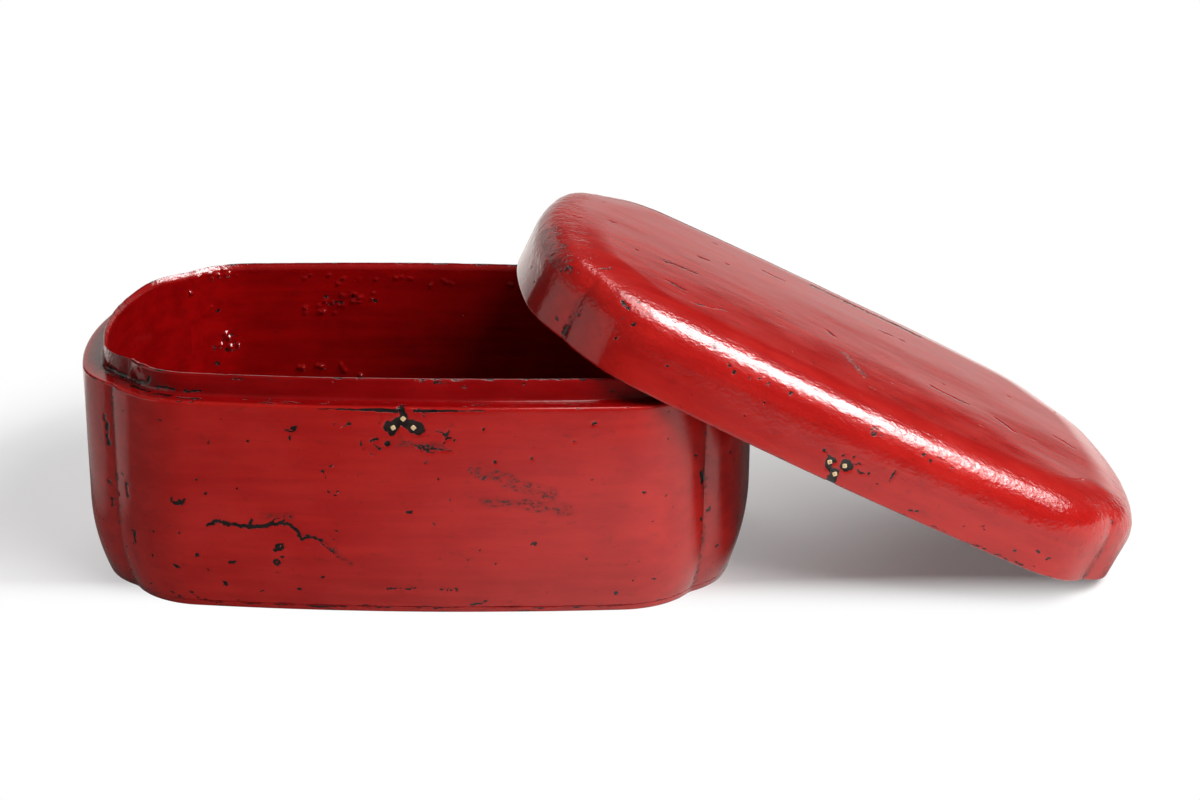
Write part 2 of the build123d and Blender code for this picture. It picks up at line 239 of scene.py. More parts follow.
# Lamps round a point on the object: two soft ones that light it, and two that make its shine
Lamp = namedtuple("Lamp", "direction distance width depth power shine")
LIGHT_AIM = np.array([0.12, 0.0, 0.08])
LAMPS = {
    "key_soft": Lamp((0.52, -0.46, 0.72), 1.15, 0.7, 0.8, 19.5, False),
    "rear_fill": Lamp((-0.25, 0.85, 0.46), 1.3, 0.9, 0.7, 6.0, False),
    "key_shine": Lamp((0.52, 0.06, 0.80), 1.1, 0.6, 0.8, 22.0, True),
    "side_shine": Lamp((0.44, 0.06, 0.81), 1.1, 1.18, 1.0, 20.5, True),
}
WORLD_LEVEL = 0.065

# Camera at the photograph's place: its lens and roll, and the point it looks at
LENS = 67.25
SENSOR = 36.0
CAMERA_ELEVATION = 19.0
CAMERA_AZIMUTH = -0.138
CAMERA_ROLL = 0.72
CAMERA_TARGET = (0.080992, 0.0, 0.065077)
CAMERA_DISTANCE = 1.02995


# Plan geometry

def bow_radii():
    """Radii of the long sides' and the ends' bows that close the plan at its length and width."""
    bow, groove_in = math.radians(SIDE_BOW), math.radians(GROOVE_TURN_SIDE)
    groove_out, last = math.radians(GROOVE_TURN_END), math.radians(90 - END_BOW)
    run_x = LENGTH / 2 - CORNER_RADIUS * (
        math.sin(groove_in) - math.sin(bow) + math.sin(last) - math.sin(groove_out)
    )
    run_y = WIDTH / 2 - CORNER_RADIUS * (
        math.cos(bow) - math.cos(groove_in) + math.cos(groove_out) - math.cos(last)
    )
    side_x, end_x = math.sin(bow), 1 - math.sin(last)
    side_y, end_y = 1 - math.cos(bow), math.cos(last)
    spread = side_x * end_y - end_x * side_y
    side_radius = (run_x * end_y - end_x * run_y) / spread
    end_radius = (side_x * run_y - run_x * side_y) / spread
    return side_radius, end_radius


def facing(turn):
    """Outward directions in plan; a turn of 0 faces the front and 90 the right."""
    angle = np.radians(turn)
    return np.stack([np.sin(angle), -np.cos(angle)], axis=-1)


def turn_of(direction):
    """The turn that faces along a direction."""
    return math.degrees(math.atan2(direction[0], -direction[1]))


SIDE_RADIUS, END_RADIUS = bow_radii()
SIDE_CENTRE = np.array([0, SIDE_RADIUS - WIDTH / 2])
END_CENTRE = np.array([LENGTH / 2 - END_RADIUS, 0])
SIDE_CORNER = SIDE_CENTRE + (SIDE_RADIUS - CORNER_RADIUS) * facing(SIDE_BOW)
END_CORNER = END_CENTRE + (END_RADIUS - CORNER_RADIUS) * facing(90 - END_BOW)

# A small hollow round softens the bottom of each groove; its centre lies outside the box
CORNER_GAP = END_CORNER - SIDE_CORNER
HALF_GAP = np.linalg.norm(CORNER_GAP) / 2
MITRE_OUTWARD = np.array([CORNER_GAP[1], -CORNER_GAP[0]]) / (2 * HALF_GAP)
VALLEY_REACH = math.sqrt((CORNER_RADIUS + VALLEY_RADIUS) ** 2 - HALF_GAP**2)
VALLEY_CENTRE = (SIDE_CORNER + END_CORNER) / 2 + VALLEY_REACH * MITRE_OUTWARD
MITRE_TURN = turn_of(MITRE_OUTWARD)

Lobe = namedtuple("Lobe", "outline outward")


def arc_stations(centre, radius, start, finish, step):
    """Points along one arc of the outline, and their outward directions."""
    count = max(LEAST_ARC_RUNS, math.ceil(abs(radius * math.radians(finish - start)) / step))
    outward = facing(np.linspace(start, finish, count + 1))
    return centre + radius * outward, outward


def joined(arcs):
    """Arcs that follow each other as one lobe, without their doubled ends."""
    outline = np.vstack([arcs[0][0]] + [points[1:] for points, _ in arcs[1:]])
    outward = np.vstack([arcs[0][1]] + [directions[1:] for _, directions in arcs[1:]])
    return Lobe(outline, outward)


def mirrored(lobe, axis):
    """A lobe followed by its mirror image, or led by it, so that it runs from groove to groove."""
    flip = np.ones(2)
    flip[axis] = -1
    other = Lobe((lobe.outline * flip)[::-1], (lobe.outward * flip)[::-1])
    return joined([other, lobe] if axis == 0 else [lobe, other])


def make_lobes(step):
    """The plan's four lobes, each from groove to groove and anticlockwise seen from above."""
    side_end = turn_of(VALLEY_CENTRE - SIDE_CORNER)
    end_start = turn_of(VALLEY_CENTRE - END_CORNER)
    front_half = joined([
        arc_stations(SIDE_CENTRE, SIDE_RADIUS, 0, SIDE_BOW, step),
        arc_stations(SIDE_CORNER, CORNER_RADIUS, SIDE_BOW, side_end, step),
        arc_stations(VALLEY_CENTRE, -VALLEY_RADIUS, side_end, MITRE_TURN, step),
    ])
    right_half = joined([
        arc_stations(VALLEY_CENTRE, -VALLEY_RADIUS, MITRE_TURN, end_start, step),
        arc_stations(END_CORNER, CORNER_RADIUS, end_start, 90 - END_BOW, step),
        arc_stations(END_CENTRE, END_RADIUS, 90 - END_BOW, 90, step),
    ])
    front = mirrored(front_half, 0)
    right = mirrored(right_half, 1)
    return {
        "front": front,
        "right": right,
        "rear": Lobe(-front.outline, -front.outward),
        "left": Lobe(-right.outline, -right.outward),
    }


LOBES = make_lobes(FINE)
BASE_LOBES = make_lobes(COARSE)


# Sections

Corner = namedtuple("Corner", "inset height rounding step relief", defaults=(0, FINE, 1))
Section = namedtuple("Section", "inset height outward upward relief creased")


def foot_inset(height):
    """How far the outer face has curved in at a height above the ground."""
    drop = np.clip(FOOT_HEIGHT - height, 0.0, FOOT_HEIGHT)
    return FOOT_RADIUS - np.sqrt(FOOT_RADIUS**2 - drop**2)


def shoulder_point(turn):
    """(inset, height) on the lid's outer face where it has turned over by an angle."""
    inset, height, reached = 0.0, SKIRT_UPRIGHT, 0.0
    for arc_radius, arc_end in SHOULDER_ARCS:
        start, finish = math.radians(reached), math.radians(min(turn, arc_end))
        inset += arc_radius * (math.cos(start) - math.cos(finish))
        height += arc_radius * (math.sin(finish) - math.sin(start))
        reached = arc_end
        if turn <= arc_end:
            break
    return inset, height


JOINT_TURN = math.degrees(math.asin((SKIRT_HEIGHT - SKIRT_UPRIGHT) / SHOULDER_ARCS[0][0]))
SHOULDER_WIDTH = shoulder_point(SHOULDER_ARCS[-1][1])[0]


def rounded_corner(before, corner, after):
    """Points of a corner's rounding, as (inset, height)."""
    here = np.array([corner.inset, corner.height])
    if corner.rounding == 0:
        return [here]
    to_before = np.array([before.inset, before.height]) - here
    to_after = np.array([after.inset, after.height]) - here
    to_before = to_before / np.linalg.norm(to_before)
    to_after = to_after / np.linalg.norm(to_after)
    half = math.acos(np.clip(np.dot(to_before, to_after), -1, 1)) / 2
    middle = (to_before + to_after) / np.linalg.norm(to_before + to_after)
    centre = here + middle * corner.rounding / math.sin(half)
    first = here + to_before * corner.rounding / math.tan(half) - centre
    last = here + to_after * corner.rounding / math.tan(half) - centre
    sweep = math.pi - 2 * half
    steps = np.linspace(0, 1, ROUNDING_STEPS + 1)
    weights = [(math.sin((1 - t) * sweep), math.sin(t * sweep)) for t in steps]
    return [centre + (a * first + b * last) / math.sin(sweep) for a, b in weights]


def run_between(start, finish, step):
    """Even points between two ends, without the ends."""
    count = max(1, math.ceil(np.linalg.norm(finish - start) / step))
    return [start + (finish - start) * part / count for part in range(1, count)]


def divided(corners, closed):
    """Even points along a run of corners, with roundings, outward normals and relief weights."""
    points, relief = [], []
    for index, corner in enumerate(corners):
        before = corners[index - 1]
        rounding = rounded_corner(before, corner, corners[(index + 1) % len(corners)])
        run = run_between(points[-1], rounding[0], before.step) if points else []
        corner_relief = (before.relief + corner.relief) / 2 if corner.rounding else corner.relief
        points += run + rounding
        relief += [before.relief] * len(run) + [corner_relief] * len(rounding)
    if closed:
        run = run_between(points[-1], points[0], corners[-1].step)
        points += run
        relief += [corners[-1].relief] * len(run)
    return with_normals(np.array(points), np.array(relief), closed)


def with_normals(points, relief, closed):
    """A section with its outward normals; at a crease the normal is that of the side with more relief."""
    arriving = points - np.roll(points, 1, axis=0)
    leaving = np.roll(points, -1, axis=0) - points
    if not closed:
        arriving[0], leaving[-1] = leaving[0], arriving[-1]
    arriving /= np.linalg.norm(arriving, axis=1, keepdims=True)
    leaving /= np.linalg.norm(leaving, axis=1, keepdims=True)
    creased = (arriving * leaving).sum(axis=1) < math.cos(math.radians(CREASE))
    along = arriving + leaving
    before_stronger = np.roll(relief, 1) > np.roll(relief, -1)
    along[creased & before_stronger] = arriving[creased & before_stronger]
    along[creased & ~before_stronger] = leaving[creased & ~before_stronger]
    along /= np.linalg.norm(along, axis=1, keepdims=True)
    return Section(points[:, 0], points[:, 1], along[:, 1], along[:, 0], relief, creased)


def wall_section():
    """Wall: upright, curved in at the foot, rebated at the inner top edge."""
    foot = [Corner(foot_inset(height), height) for height in np.arange(BASE_EDGE + FINE, FOOT_HEIGHT, FINE)]
    rebate = WALL_HEIGHT - FLANGE_REBATE
    return divided([
        Corner(foot_inset(BASE_EDGE), BASE_EDGE, SEAM_ROUNDING),
        *foot,
        Corner(0, WALL_HEIGHT, RIM_ROUNDING),
        Corner(LEDGE_WIDTH, WALL_HEIGHT, SEAM_ROUNDING, COARSE, 0),
        Corner(LEDGE_WIDTH, rebate, SEAM_ROUNDING, COARSE, 0),
        Corner(WALL_THICKNESS, rebate),
        Corner(WALL_THICKNESS, BASE_EDGE, SEAM_ROUNDING, COARSE, 0),
    ], True)


def flange_top(side):
    """Corners of a flange's upper edge: bevelled inside, and in front worn outside too."""
    outer = LEDGE_WIDTH + FLANGE_LEAN
    if side == "front":
        crest = outer + FRONT_CHAMFER
        return [
            Corner(outer, FLANGE_TOP - FRONT_CHAMFER_FALL, FLANGE_ROUNDING),
            Corner(crest, FLANGE_TOP, FLANGE_ROUNDING),
            Corner(crest + FRONT_TOP_WIDTH, FLANGE_TOP - FRONT_TOP_FALL, FLANGE_ROUNDING),
            Corner(WALL_THICKNESS, FLANGE_TOP - FLANGE_BEVEL_FALL, FLANGE_ROUNDING),
        ]
    return [
        Corner(outer, FLANGE_TOP, FLANGE_ROUNDING),
        Corner(WALL_THICKNESS - FLANGE_BEVEL, FLANGE_TOP, FLANGE_ROUNDING),
        Corner(WALL_THICKNESS, FLANGE_TOP - FLANGE_BEVEL_FALL, FLANGE_BEVEL_ROUNDING),
    ]


def flange_section(side):
    """Flange strip: stands in the rebate, with lacquer run into the corner at the ledge."""
    fillet = []
    for angle in np.radians(np.linspace(0, 90, FILLET_POINTS)):
        reach = LACQUER_FILLET * (1 - math.sin(angle)) + FLANGE_SPREAD
        rise = LACQUER_FILLET * (1 - math.cos(angle))
        fillet.append(Corner(LEDGE_WIDTH - reach, WALL_HEIGHT + rise))
    return divided([
        Corner(LEDGE_WIDTH, WALL_HEIGHT - FLANGE_REBATE, SEAM_ROUNDING, COARSE, 0),
        Corner(LEDGE_WIDTH, WALL_HEIGHT - SEAM_ROUNDING, 0, COARSE, 0),
        *fillet,
        *flange_top(side),
        Corner(WALL_THICKNESS, WALL_HEIGHT - FLANGE_REBATE, 0, COARSE, 0),
    ], True)


def skirt_section():
    """Lid skirt: a board with softened lower edges, its outer face turning over at the top."""
    turning = [Corner(*shoulder_point(turn)) for turn in np.linspace(0, JOINT_TURN, SKIRT_TURN_POINTS)]
    joint_inset, _ = shoulder_point(JOINT_TURN)
    return divided([
        Corner(0, 0, RIM_ROUNDING),
        *turning,
        Corner(joint_inset + FINE, SKIRT_HEIGHT, 0, COARSE, 0),
        Corner(SKIRT_THICKNESS, SKIRT_HEIGHT, SEAM_ROUNDING),
        Corner(SKIRT_THICKNESS, 0, RIM_ROUNDING),
    ], True)


def lid_board_section():
    """Lid's top board, from under its middle out to the skirt joint and over the shoulder."""
    lip_inset, lip_height = shoulder_point(JOINT_TURN - LIP_TURN)
    turns = []
    reached = JOINT_TURN
    for arc_radius, arc_end in SHOULDER_ARCS:
        count = math.ceil(arc_radius * math.radians(arc_end - reached) / FINE)
        turns += list(np.linspace(reached, arc_end, count + 1)[1:])
        reached = arc_end
    return divided([
        Corner(SHOULDER_WIDTH, SKIRT_HEIGHT, 0, COARSE, 0),
        Corner(lip_inset + FINE, SKIRT_HEIGHT, 0, COARSE, 0),
        Corner(lip_inset - LIP_PROUD, lip_height),
        *[Corner(*shoulder_point(turn)) for turn in turns],
    ], False)


def base_board_section():
    """Base board, from under its middle out to its thin edge and up into the box's floor."""
    heights = np.linspace(SEAM_ROUNDING, BASE_EDGE - SEAM_ROUNDING, BASE_EDGE_POINTS)
    return divided([
        Corner(BASE_RING, 0, 0, COARSE, 0),
        Corner(foot_inset(0), 0, SEAM_ROUNDING),
        *[Corner(foot_inset(height), height) for height in heights],
        Corner(foot_inset(BASE_EDGE), BASE_EDGE, SEAM_ROUNDING, COARSE, 0),
        Corner(WALL_THICKNESS, BASE_EDGE, SEAM_ROUNDING, FINE, 0),
        Corner(WALL_THICKNESS, BASE_THICKNESS, SEAM_ROUNDING, COARSE),
        Corner(BASE_RING, BASE_THICKNESS, 0, COARSE),
    ], False)


# Marks of use: strokes where the red is gone and the black under it shows

Stroke = namedtuple("Stroke", "half_width path")


def drawn(paths_by_width):
    """Marks by half width; a path is its points' numbers in a row, and one point alone is a round blot."""
    made = []
    for half_width, paths in paths_by_width.items():
        for path in paths:
            points = list(zip(path[::2], path[1::2]))
            made.append(Stroke(half_width if points[1:] else half_width + SPOT_SPREAD, points))
    return made


def arc(along, across, radius, half_width, start=0, finish=360):
    """A stroke round a centre, from one bearing to another."""
    turns = np.radians(np.linspace(start, finish, ARC_POINTS))
    return Stroke(half_width, [(along + radius * math.cos(t), across + radius * math.sin(t)) for t in turns])


def scattered(seed, count, reach, low, high):
    """Specks and short scratches strewn over a face."""
    chance = np.random.default_rng(seed)
    made = []
    for _ in range(count):
        along, across = chance.uniform(-reach, reach), chance.uniform(low, high)
        run_along, run_across = chance.normal(0, SPECK_RUN), chance.normal(0, SPECK_RUN_ACROSS)
        half_width = SPECK_WIDTH + SPECK_WIDTH_GAIN * chance.random() ** 3
        made.append(Stroke(half_width, [(along, across), (along + run_along, across + run_across)]))
    return made


def cluster(seed, count, centre, spread):
    """Blots of many sizes about a centre."""
    chance = np.random.default_rng(seed)
    made = []
    for _ in range(count):
        start = chance.normal(centre, spread)
        finish = start + chance.normal(0, BLOT_RUN)
        half_width = BLOT_WIDTH + BLOT_WIDTH_GAIN * chance.random()
        made.append(Stroke(half_width, [tuple(start), tuple(finish)]))
    return made


def weathered(seed, reach, low, high):
    """Wear of a face that isn't in view: a falling crack, blots, and chips at the lower edge."""
    chance = np.random.default_rng(seed)
    limits = [(share * reach, low + rise * (high - low)) for share, rise in CRACK_STARTS]
    first = chance.uniform(*limits)
    steps = np.cumsum(chance.normal(CRACK_STEP, CRACK_STEP_VARIES, (CRACK_STEPS, 2)), axis=0)
    made = [Stroke(CRACK_WIDTH, [tuple(point) for point in first + steps])]
    for _ in range(WEAR_BLOTS):
        place = tuple(chance.uniform((-reach, low), (reach, high)))
        made.append(Stroke(chance.uniform(*WEAR_BLOT_WIDTHS) + SPOT_SPREAD, [place]))
    for along in np.arange(-reach, reach, CHIP_SPACING):
        ends = along + chance.uniform(*CHIP_ENDS)
        made.append(Stroke(chance.uniform(*CHIP_WIDTHS), [(end, low) for end in ends]))
    return made


# Front of the box, as (along, height)
FRONT_CRACK = drawn({
    0.8: [(-78.4, 42.3, -67, 40.1, -57, 41.4, -51, 42.8, -48.5, 40.4, -44, 36, -41, 37, -35.7, 35.4)],
    0.75: [(-85, 40.5, -80, 42.2)], 0.6: [(-67, 40.1, -65, 44)],
    0.5: [(-59, 41, -55.5, 44.3, -50.5, 44.2, -46, 38.5)], 0.25: [(-35.7, 34, -30, 28.5, -26, 26)],
})
FRONT_RINGS = [arc(-53.8, 31.8, 1.2, 0.66), arc(-55.3, 24, 1.1, 0.62), arc(-97, 51.6, 2.5, 0.6, 190, 350)]
FRONT_BLOTS = drawn({
    1.0: [(-46, 85.8)],
    0.9: [(-89.6, 26.2), (-78.5, 12.3), (88.7, 9.5), (-99.8, 20.2, -98.4, 19.2)],
    0.8: [(-12.4, 81.2), (54, 34.3), (78.8, 87.8)],
    0.7: [(-36.4, 17.8), (-46.7, 11.2), (52.3, 73), (37, 71.8), (-56, 29.8, -54.4, 30.8),
          (16, 83.6, 17.4, 81.8)],
    0.6: [(-48.2, 81.2), (-84, 54.5), (-99.4, 4.9), (32.6, 5.5)],
    0.5: [(-88, 61), (-32.5, 57.6), (-30, 56.4), (-102, 5.2), (18, 53.5), (-50.5, 84.2, -47, 84.4),
          (-75.5, 22.2, -72.5, 23.2), (6, 77.9, 13, 77.4)],
    0.45: [*[(along, 12.4) for along in np.arange(-8.5, 4.5, 1.9)],
           *[(along, 12.6) for along in np.arange(14, 23, 2.3)]],
    0.4: [(-28.4, 58), (-18.6, 80.4, -17.4, 76.6), (-34.9, 67.4, -34, 63.8), (3, 79.4, 8, 79)],
    0.35: [(-94, 8, -88.3, 1.5)],
    0.3: [(-56.6, 19.2, -54.4, 18.8), (-96.8, 51.4, -96.2, 48.6), (-23, 88, -25.5, 86.6), (-14, 80, -11, 77),
          (13.4, 84.8, 16.4, 83, 20.6, 80.4), (11, 77.2, 18.4, 76.8), (7, 76.2, 12, 75.6)],
    0.25: [(18.2, 86, 17, 82.6, 15.4, 79.6), (9.4, 80.4, 10, 75.4)],
    0.05: [(83, 38, 85, 36)],
})
FRONT_GROOVE_BLOTS = drawn({
    0.8: [(126, 37.2)], 0.7: [(-120.8, 52.5, -120.4, 47.5)],
    0.6: [(-125.6, 45.7), (-118.6, 32, -118, 27.5)], 0.5: [(124.5, 60, 124.6, 54)],
})
CLASP_RING = [arc(-7.8, 78.9, 0.8, 0.6)]
CLASP_PATCH = drawn({
    2.7: [(-6.4, 86.4, -4.6, 85.8)], 2.3: [(3.8, 86.4, 6.4, 86)], 2.2: [(-4.6, 87.4, -1.4, 89.4, 3.4, 87)],
    1.5: [(-0.8, 95.5, -0.6, 90.5)], 1.2: [(-5.2, 83.4)], 0.4: [(-3.4, 93.6)],
    0.3: [(-10.8, 88.4), (9.8, 84)], 0.2: [(-10.6, 91)],
})
RIM_SEAM = drawn({
    0.8: [(-11, 93.8, -4, 93.7)], 0.65: [(4, 93.7, 13, 93.8)], 0.6: [(-18, 93.9, -10, 93.8)],
    0.45: [(12, 93.8, 22, 93.8)], 0.4: [(-28, 93.9, -17, 93.9)], 0.25: [(21, 93.8, 33, 93.9)],
    0.2: [(-36, 93.9, -27, 93.9)],
})
FOOT_DASHES = drawn({
    0.7: [(-44, 2.6, -27, 2.7)], 0.6: [(-74, 2.8, -64, 2.6)], 0.55: [(-90, 2.7, -80, 2.5)],
    0.5: [(-58, 2.5, -49, 2.8), (-22, 2.8, -8, 2.6), (26, 4.4, 31, 4.2)], 0.45: [(-3, 2.6, 6, 2.8)],
    0.4: [(10, 2.6, 22, 2.7), (36, 2.7, 49, 2.7), (68, 2.7, 76, 2.6)],
    0.35: [(52, 2.6, 64, 2.7)], 0.3: [(80, 2.7, 96, 2.6)],
})
FRONT_RUBBED = drawn({
    3.6: [(29.5, 68, 36, 66, 42.7, 62)], 3.2: [(46.5, 60.6, 60.7, 57)], 3.0: [(34, 53.5, 52, 52, 68.7, 49.5)],
    2.0: [(-6, 79, 14, 78.5)], 1.8: [(-60, 46, -48, 46.5)], 1.4: [(-36, 35, -24, 25)], 1.2: [(85.7, 36.5)],
})

# Inside of the rear wall, as (along, height): blisters and pits
REAR_INSIDE_PITS = cluster(27, 9, (-46, 85), (12, 1.4)) + drawn({
    0.9: [(-108, 55.4)], 0.7: [(-103.5, 61.5)], 0.6: [(-106, 82), (-109, 63), (-101, 69), (-104.5, 66)],
    0.5: [(-99.5, 64.5), (-100, 60.5)], 0.4: [(-98.5, 67.5)],
})
REAR_INSIDE_CLUSTERS = cluster(21, 18, (-44, 86), (13, 1.6)) + cluster(22, 6, (-52, 81), (8, 1.2))
REAR_INSIDE_BLISTERS = REAR_INSIDE_CLUSTERS + drawn({
    1.1: [(-101.2, 62.5)], 1.0: [(-102, 67.3)], 0.9: [(-105.8, 64)], 0.4: [(-109, 84.6)],
    0.8: [(-98, 63), (-103.2, 70), (-48, 52, -45, 49)],
    0.7: [(-69, 51.8, -66.5, 51), (-60, 52.3, -57, 51), (-39.5, 47, -37, 46)],
})
REAR_FLANGE_CLUSTERS = cluster(23, 12, (-103, 100), (5, 1.6)) + cluster(24, 20, (-10, 96), (40, 1.4))
REAR_FLANGE_BLISTERS = REAR_FLANGE_CLUSTERS + drawn({
    1.1: [(-125, 98.4, -122, 97.4)], 0.6: [(-118, 94.2, -116.6, 93.8)],
})

# Top of the lid, as (along, across)
LID_TOP_CRACKS = drawn({
    1.1: [(-12.7, 69.9, 3, 70.6, 17.4, 70, 32, 70.5, 47.7, 69.5)],
    0.7: [(-108, -18.8), (-119.5, 10.5)],
    0.55: [(-76, 18.8, -71, 20), (-92.7, -46.8, -85, -49.3), (72.7, -19.8, 80.7, -27)],
    0.5: [(-94, -17.2, -86, -15, -78.5, -13.4), (39.5, -18.4, 50, -19.4, 58.4, -19), (107.5, -1.2, 117, -5),
          (-12.7, -6.9, -8.6, -11.8), (-4.3, -36.5), (-1, -44), (0.9, -51.5)],
    0.35: [(20, 40, 34, 42)], 0.3: [(-81, -62, -73, -57, -66.5, -51), (-40, 52, -28, 50)],
})
LID_CORNER_CHIPS = drawn({
    0.5: [(125.8, -71)], 0.35: [(-131.6, -66.7), (-123.8, -64.3, -119, -61.2)],
    0.2: [(-137.7, -60, -134, -64)],
})
LID_RUBBED = drawn({
    3.5: [(-146, -20, -145, -38, -139, -57)], 2.2: [(-6, -33, 2, -53)],
    2.0: [(-94, -15, -78, -11), (-10, 72, 46, 72)],
})

# Front of the lid's shoulder, as (along, height)
LID_SHOULDER_RING = [arc(4.9, 28, 1.3, 0.35)]
LID_SHOULDER_CHIPS = drawn({
    0.8: [(-105, 23.9)], 0.7: [(-59, 25.4), (-108.7, 27.6)], 0.6: [(-44, 26.2), (-111.2, 28.2)],
    0.5: [(-53, 25.9, -50.6, 25.4)], 0.4: [(-62, 26.8), (-48, 27.4), (-70, 30.5), (-33, 27.2), (32, 26.5)],
})

# Front of the lid's skirt, as (along, height)
LID_FRONT_BLOTS = drawn({
    2.5: [(1.3, 9.3)], 2.0: [(-5.5, 8.3), (-1.1, 4.4, -0.8, -0.5)], 0.9: [(-5, 7, -1.3, 4.6)],
    0.7: [(-10.2, 11.5), (-108.5, 15.1)], 0.6: [(10.7, 11.2), (2.8, 14.4)],
    0.5: [(84.2, 5.6), (-125.3, 13), (-8.6, 10.6, -7.2, 9.8), (-125.6, 2, -125.4, 6)],
    0.4: [(59, 6.9), (4.6, 11.6, 6.4, 12.6), (6.5, 9.5, 8.6, 9.8), (-2, 12.4, -1.4, 13.8),
          (20.6, 11.8, 21.3, 17.4), (125.8, 2, 125.7, 7)],
    0.35: [(34.3, 3.5, 37.3, 4.6)], 0.3: [(82.8, 21)],
    0.25: [(63.5, 0.6, 72.8, 1.0), (77, 0.7, 83, 0.9)], 0.2: [(46, 0.8, 53, 1.0), (86, 1.4, 91, 1.0)],
    0.15: [(94, 20.5), (98, 18), (101, 16.4), (104.5, 17.6), (103, 13.4), (107.4, 14.6), (109, 18),
           (96.5, 13.5)],
})

# Ends, as (across, height)
LEFT_WALL_BLOTS = drawn({
    0.8: [(-70.6, 49.3)], 0.7: [(-70.4, 79, -71.2, 67.5)], 0.6: [(-70.9, 42, -71, 38)],
})
RIGHT_WALL_BLOTS = drawn({0.7: [(-71.9, 40.1)]})
LID_LEFT_BLOTS = drawn({0.5: [(-60.3, 4.5)], 0.4: [(-73.2, 5, -73, 2)]})

# Front ledge beside the flange, as (along, across)
LEDGE_MARKS = drawn({
    1.2: [(-117, -75, -109, -82)], 1.0: [(-106, -85, -99, -88)], 0.7: [(-95, -90, -86, -91.6)],
    0.5: [(-61, -94, -54, -94.2), (-51, -93.4, -44, -94), (66, -92.6, 76, -92)],
    0.35: [(28, -95, 33, -95)], 0.3: [(-36, -95, -31, -95.4), (-20, -96), (48, -96)],
})
LEDGE_BLISTERS = cluster(26, 9, (-53, -95.4), (7, 0.7)) + cluster(28, 4, (70, -93.4), (4, 0.7))

# Outer face of the flange, as (along, height) in front and (across, height) on the left
FRONT_FLANGE_MARKS = drawn({
    0.9: [(-117, 96.6, -112, 97.2)], 0.7: [(-105, 96.8, -98, 97)], 0.6: [(-110, 98, -108.4, 101)],
    0.5: [(-93, 96.6, -86, 96.8)], 0.4: [(12, 102.8, 17.5, 102.6), (24, 101.4), (86, 98.4)],
    0.3: [(-73, 102.6, -69, 102.4), (-57, 102.6, -54, 102.5), (49, 102.4)], 0.2: [(-30, 102.2)],
})
LEFT_FLANGE_MARKS = drawn({0.9: [(-66, 96.4, -56, 96.8)], 0.7: [(-48, 96.4, -36, 96.6)]})

# Faces, and the two axes of the frame that their marks are placed along
OUTER_FACE, INNER_FACE, TOP_FACE, SHOULDER_FACE, LEDGE_FACE = "outer", "inner", "top", "shoulder", "ledge"
FROM_FRONT, FROM_END, FROM_ABOVE = (0, 2), (1, 2), (0, 1)
Marks = namedtuple("Marks", "strokes axes face wobble softness", defaults=(1.0, MARK_SOFTNESS))
Blisters = namedtuple("Blisters", "marks height")

MARKS = {
    "front_wall": [
        Marks(FRONT_CRACK + FRONT_RINGS + FRONT_BLOTS + FRONT_GROOVE_BLOTS + CLASP_RING + CLASP_PATCH
              + FOOT_DASHES + scattered(5, 130, 125, 4, 92), FROM_FRONT, OUTER_FACE),
        Marks(RIM_SEAM, FROM_FRONT, OUTER_FACE, RIM_WOBBLE, RIM_SOFTNESS),
        Marks(LEDGE_MARKS + scattered(20, 40, 125, -99, -90), FROM_ABOVE, LEDGE_FACE),
        Marks(scattered(6, 30, 110, 10, 88), FROM_FRONT, INNER_FACE),
    ],
    "rear_wall": [
        Marks(weathered(41, 110, 3, 90) + scattered(7, 150, 125, 3, 93), FROM_FRONT, OUTER_FACE),
        Marks(REAR_INSIDE_PITS + scattered(8, 30, 110, 10, 88), FROM_FRONT, INNER_FACE),
    ],
    "left_wall": [
        Marks(LEFT_WALL_BLOTS + scattered(9, 90, 72, 3, 93), FROM_END, OUTER_FACE),
        Marks(scattered(10, 25, 60, 10, 88), FROM_END, INNER_FACE),
    ],
    "right_wall": [
        Marks(RIGHT_WALL_BLOTS + weathered(42, 60, 3, 90) + scattered(11, 90, 72, 3, 93),
              FROM_END, OUTER_FACE),
        Marks(scattered(12, 20, 60, 10, 88), FROM_END, INNER_FACE),
    ],
    "front_flange": [Marks(FRONT_FLANGE_MARKS, FROM_FRONT, OUTER_FACE)],
    "left_flange": [Marks(LEFT_FLANGE_MARKS, FROM_END, OUTER_FACE)],
    "base_board": [
        Marks(FOOT_DASHES, FROM_FRONT, OUTER_FACE),
        Marks(scattered(13, 40, 130, -80, 80), FROM_ABOVE, TOP_FACE),
    ],
    "lid_top_board": [
        Marks(LID_TOP_CRACKS + LID_CORNER_CHIPS + scattered(14, 60, 140, -88, 92), FROM_ABOVE, TOP_FACE),
        Marks(LID_SHOULDER_RING + LID_SHOULDER_CHIPS + scattered(19, 10, 120, 23, 33),
              FROM_FRONT, SHOULDER_FACE),
    ],
    "lid_front_skirt": [Marks(LID_FRONT_BLOTS + scattered(15, 16, 120, 1, 22), FROM_FRONT, OUTER_FACE)],
    "lid_rear_skirt": [
        Marks(weathered(43, 110, 1, 20) + scattered(16, 60, 120, 0, 22), FROM_FRONT, OUTER_FACE),
    ],
    "lid_left_skirt": [Marks(LID_LEFT_BLOTS + scattered(17, 24, 70, 0, 22), FROM_END, OUTER_FACE)],
    "lid_right_skirt": [Marks(scattered(18, 24, 70, 0, 22), FROM_END, OUTER_FACE)],
}
RUBBED = {
    "front_wall": Marks(FRONT_RUBBED, FROM_FRONT, OUTER_FACE),
    "lid_top_board": Marks(LID_RUBBED, FROM_ABOVE, TOP_FACE),
}
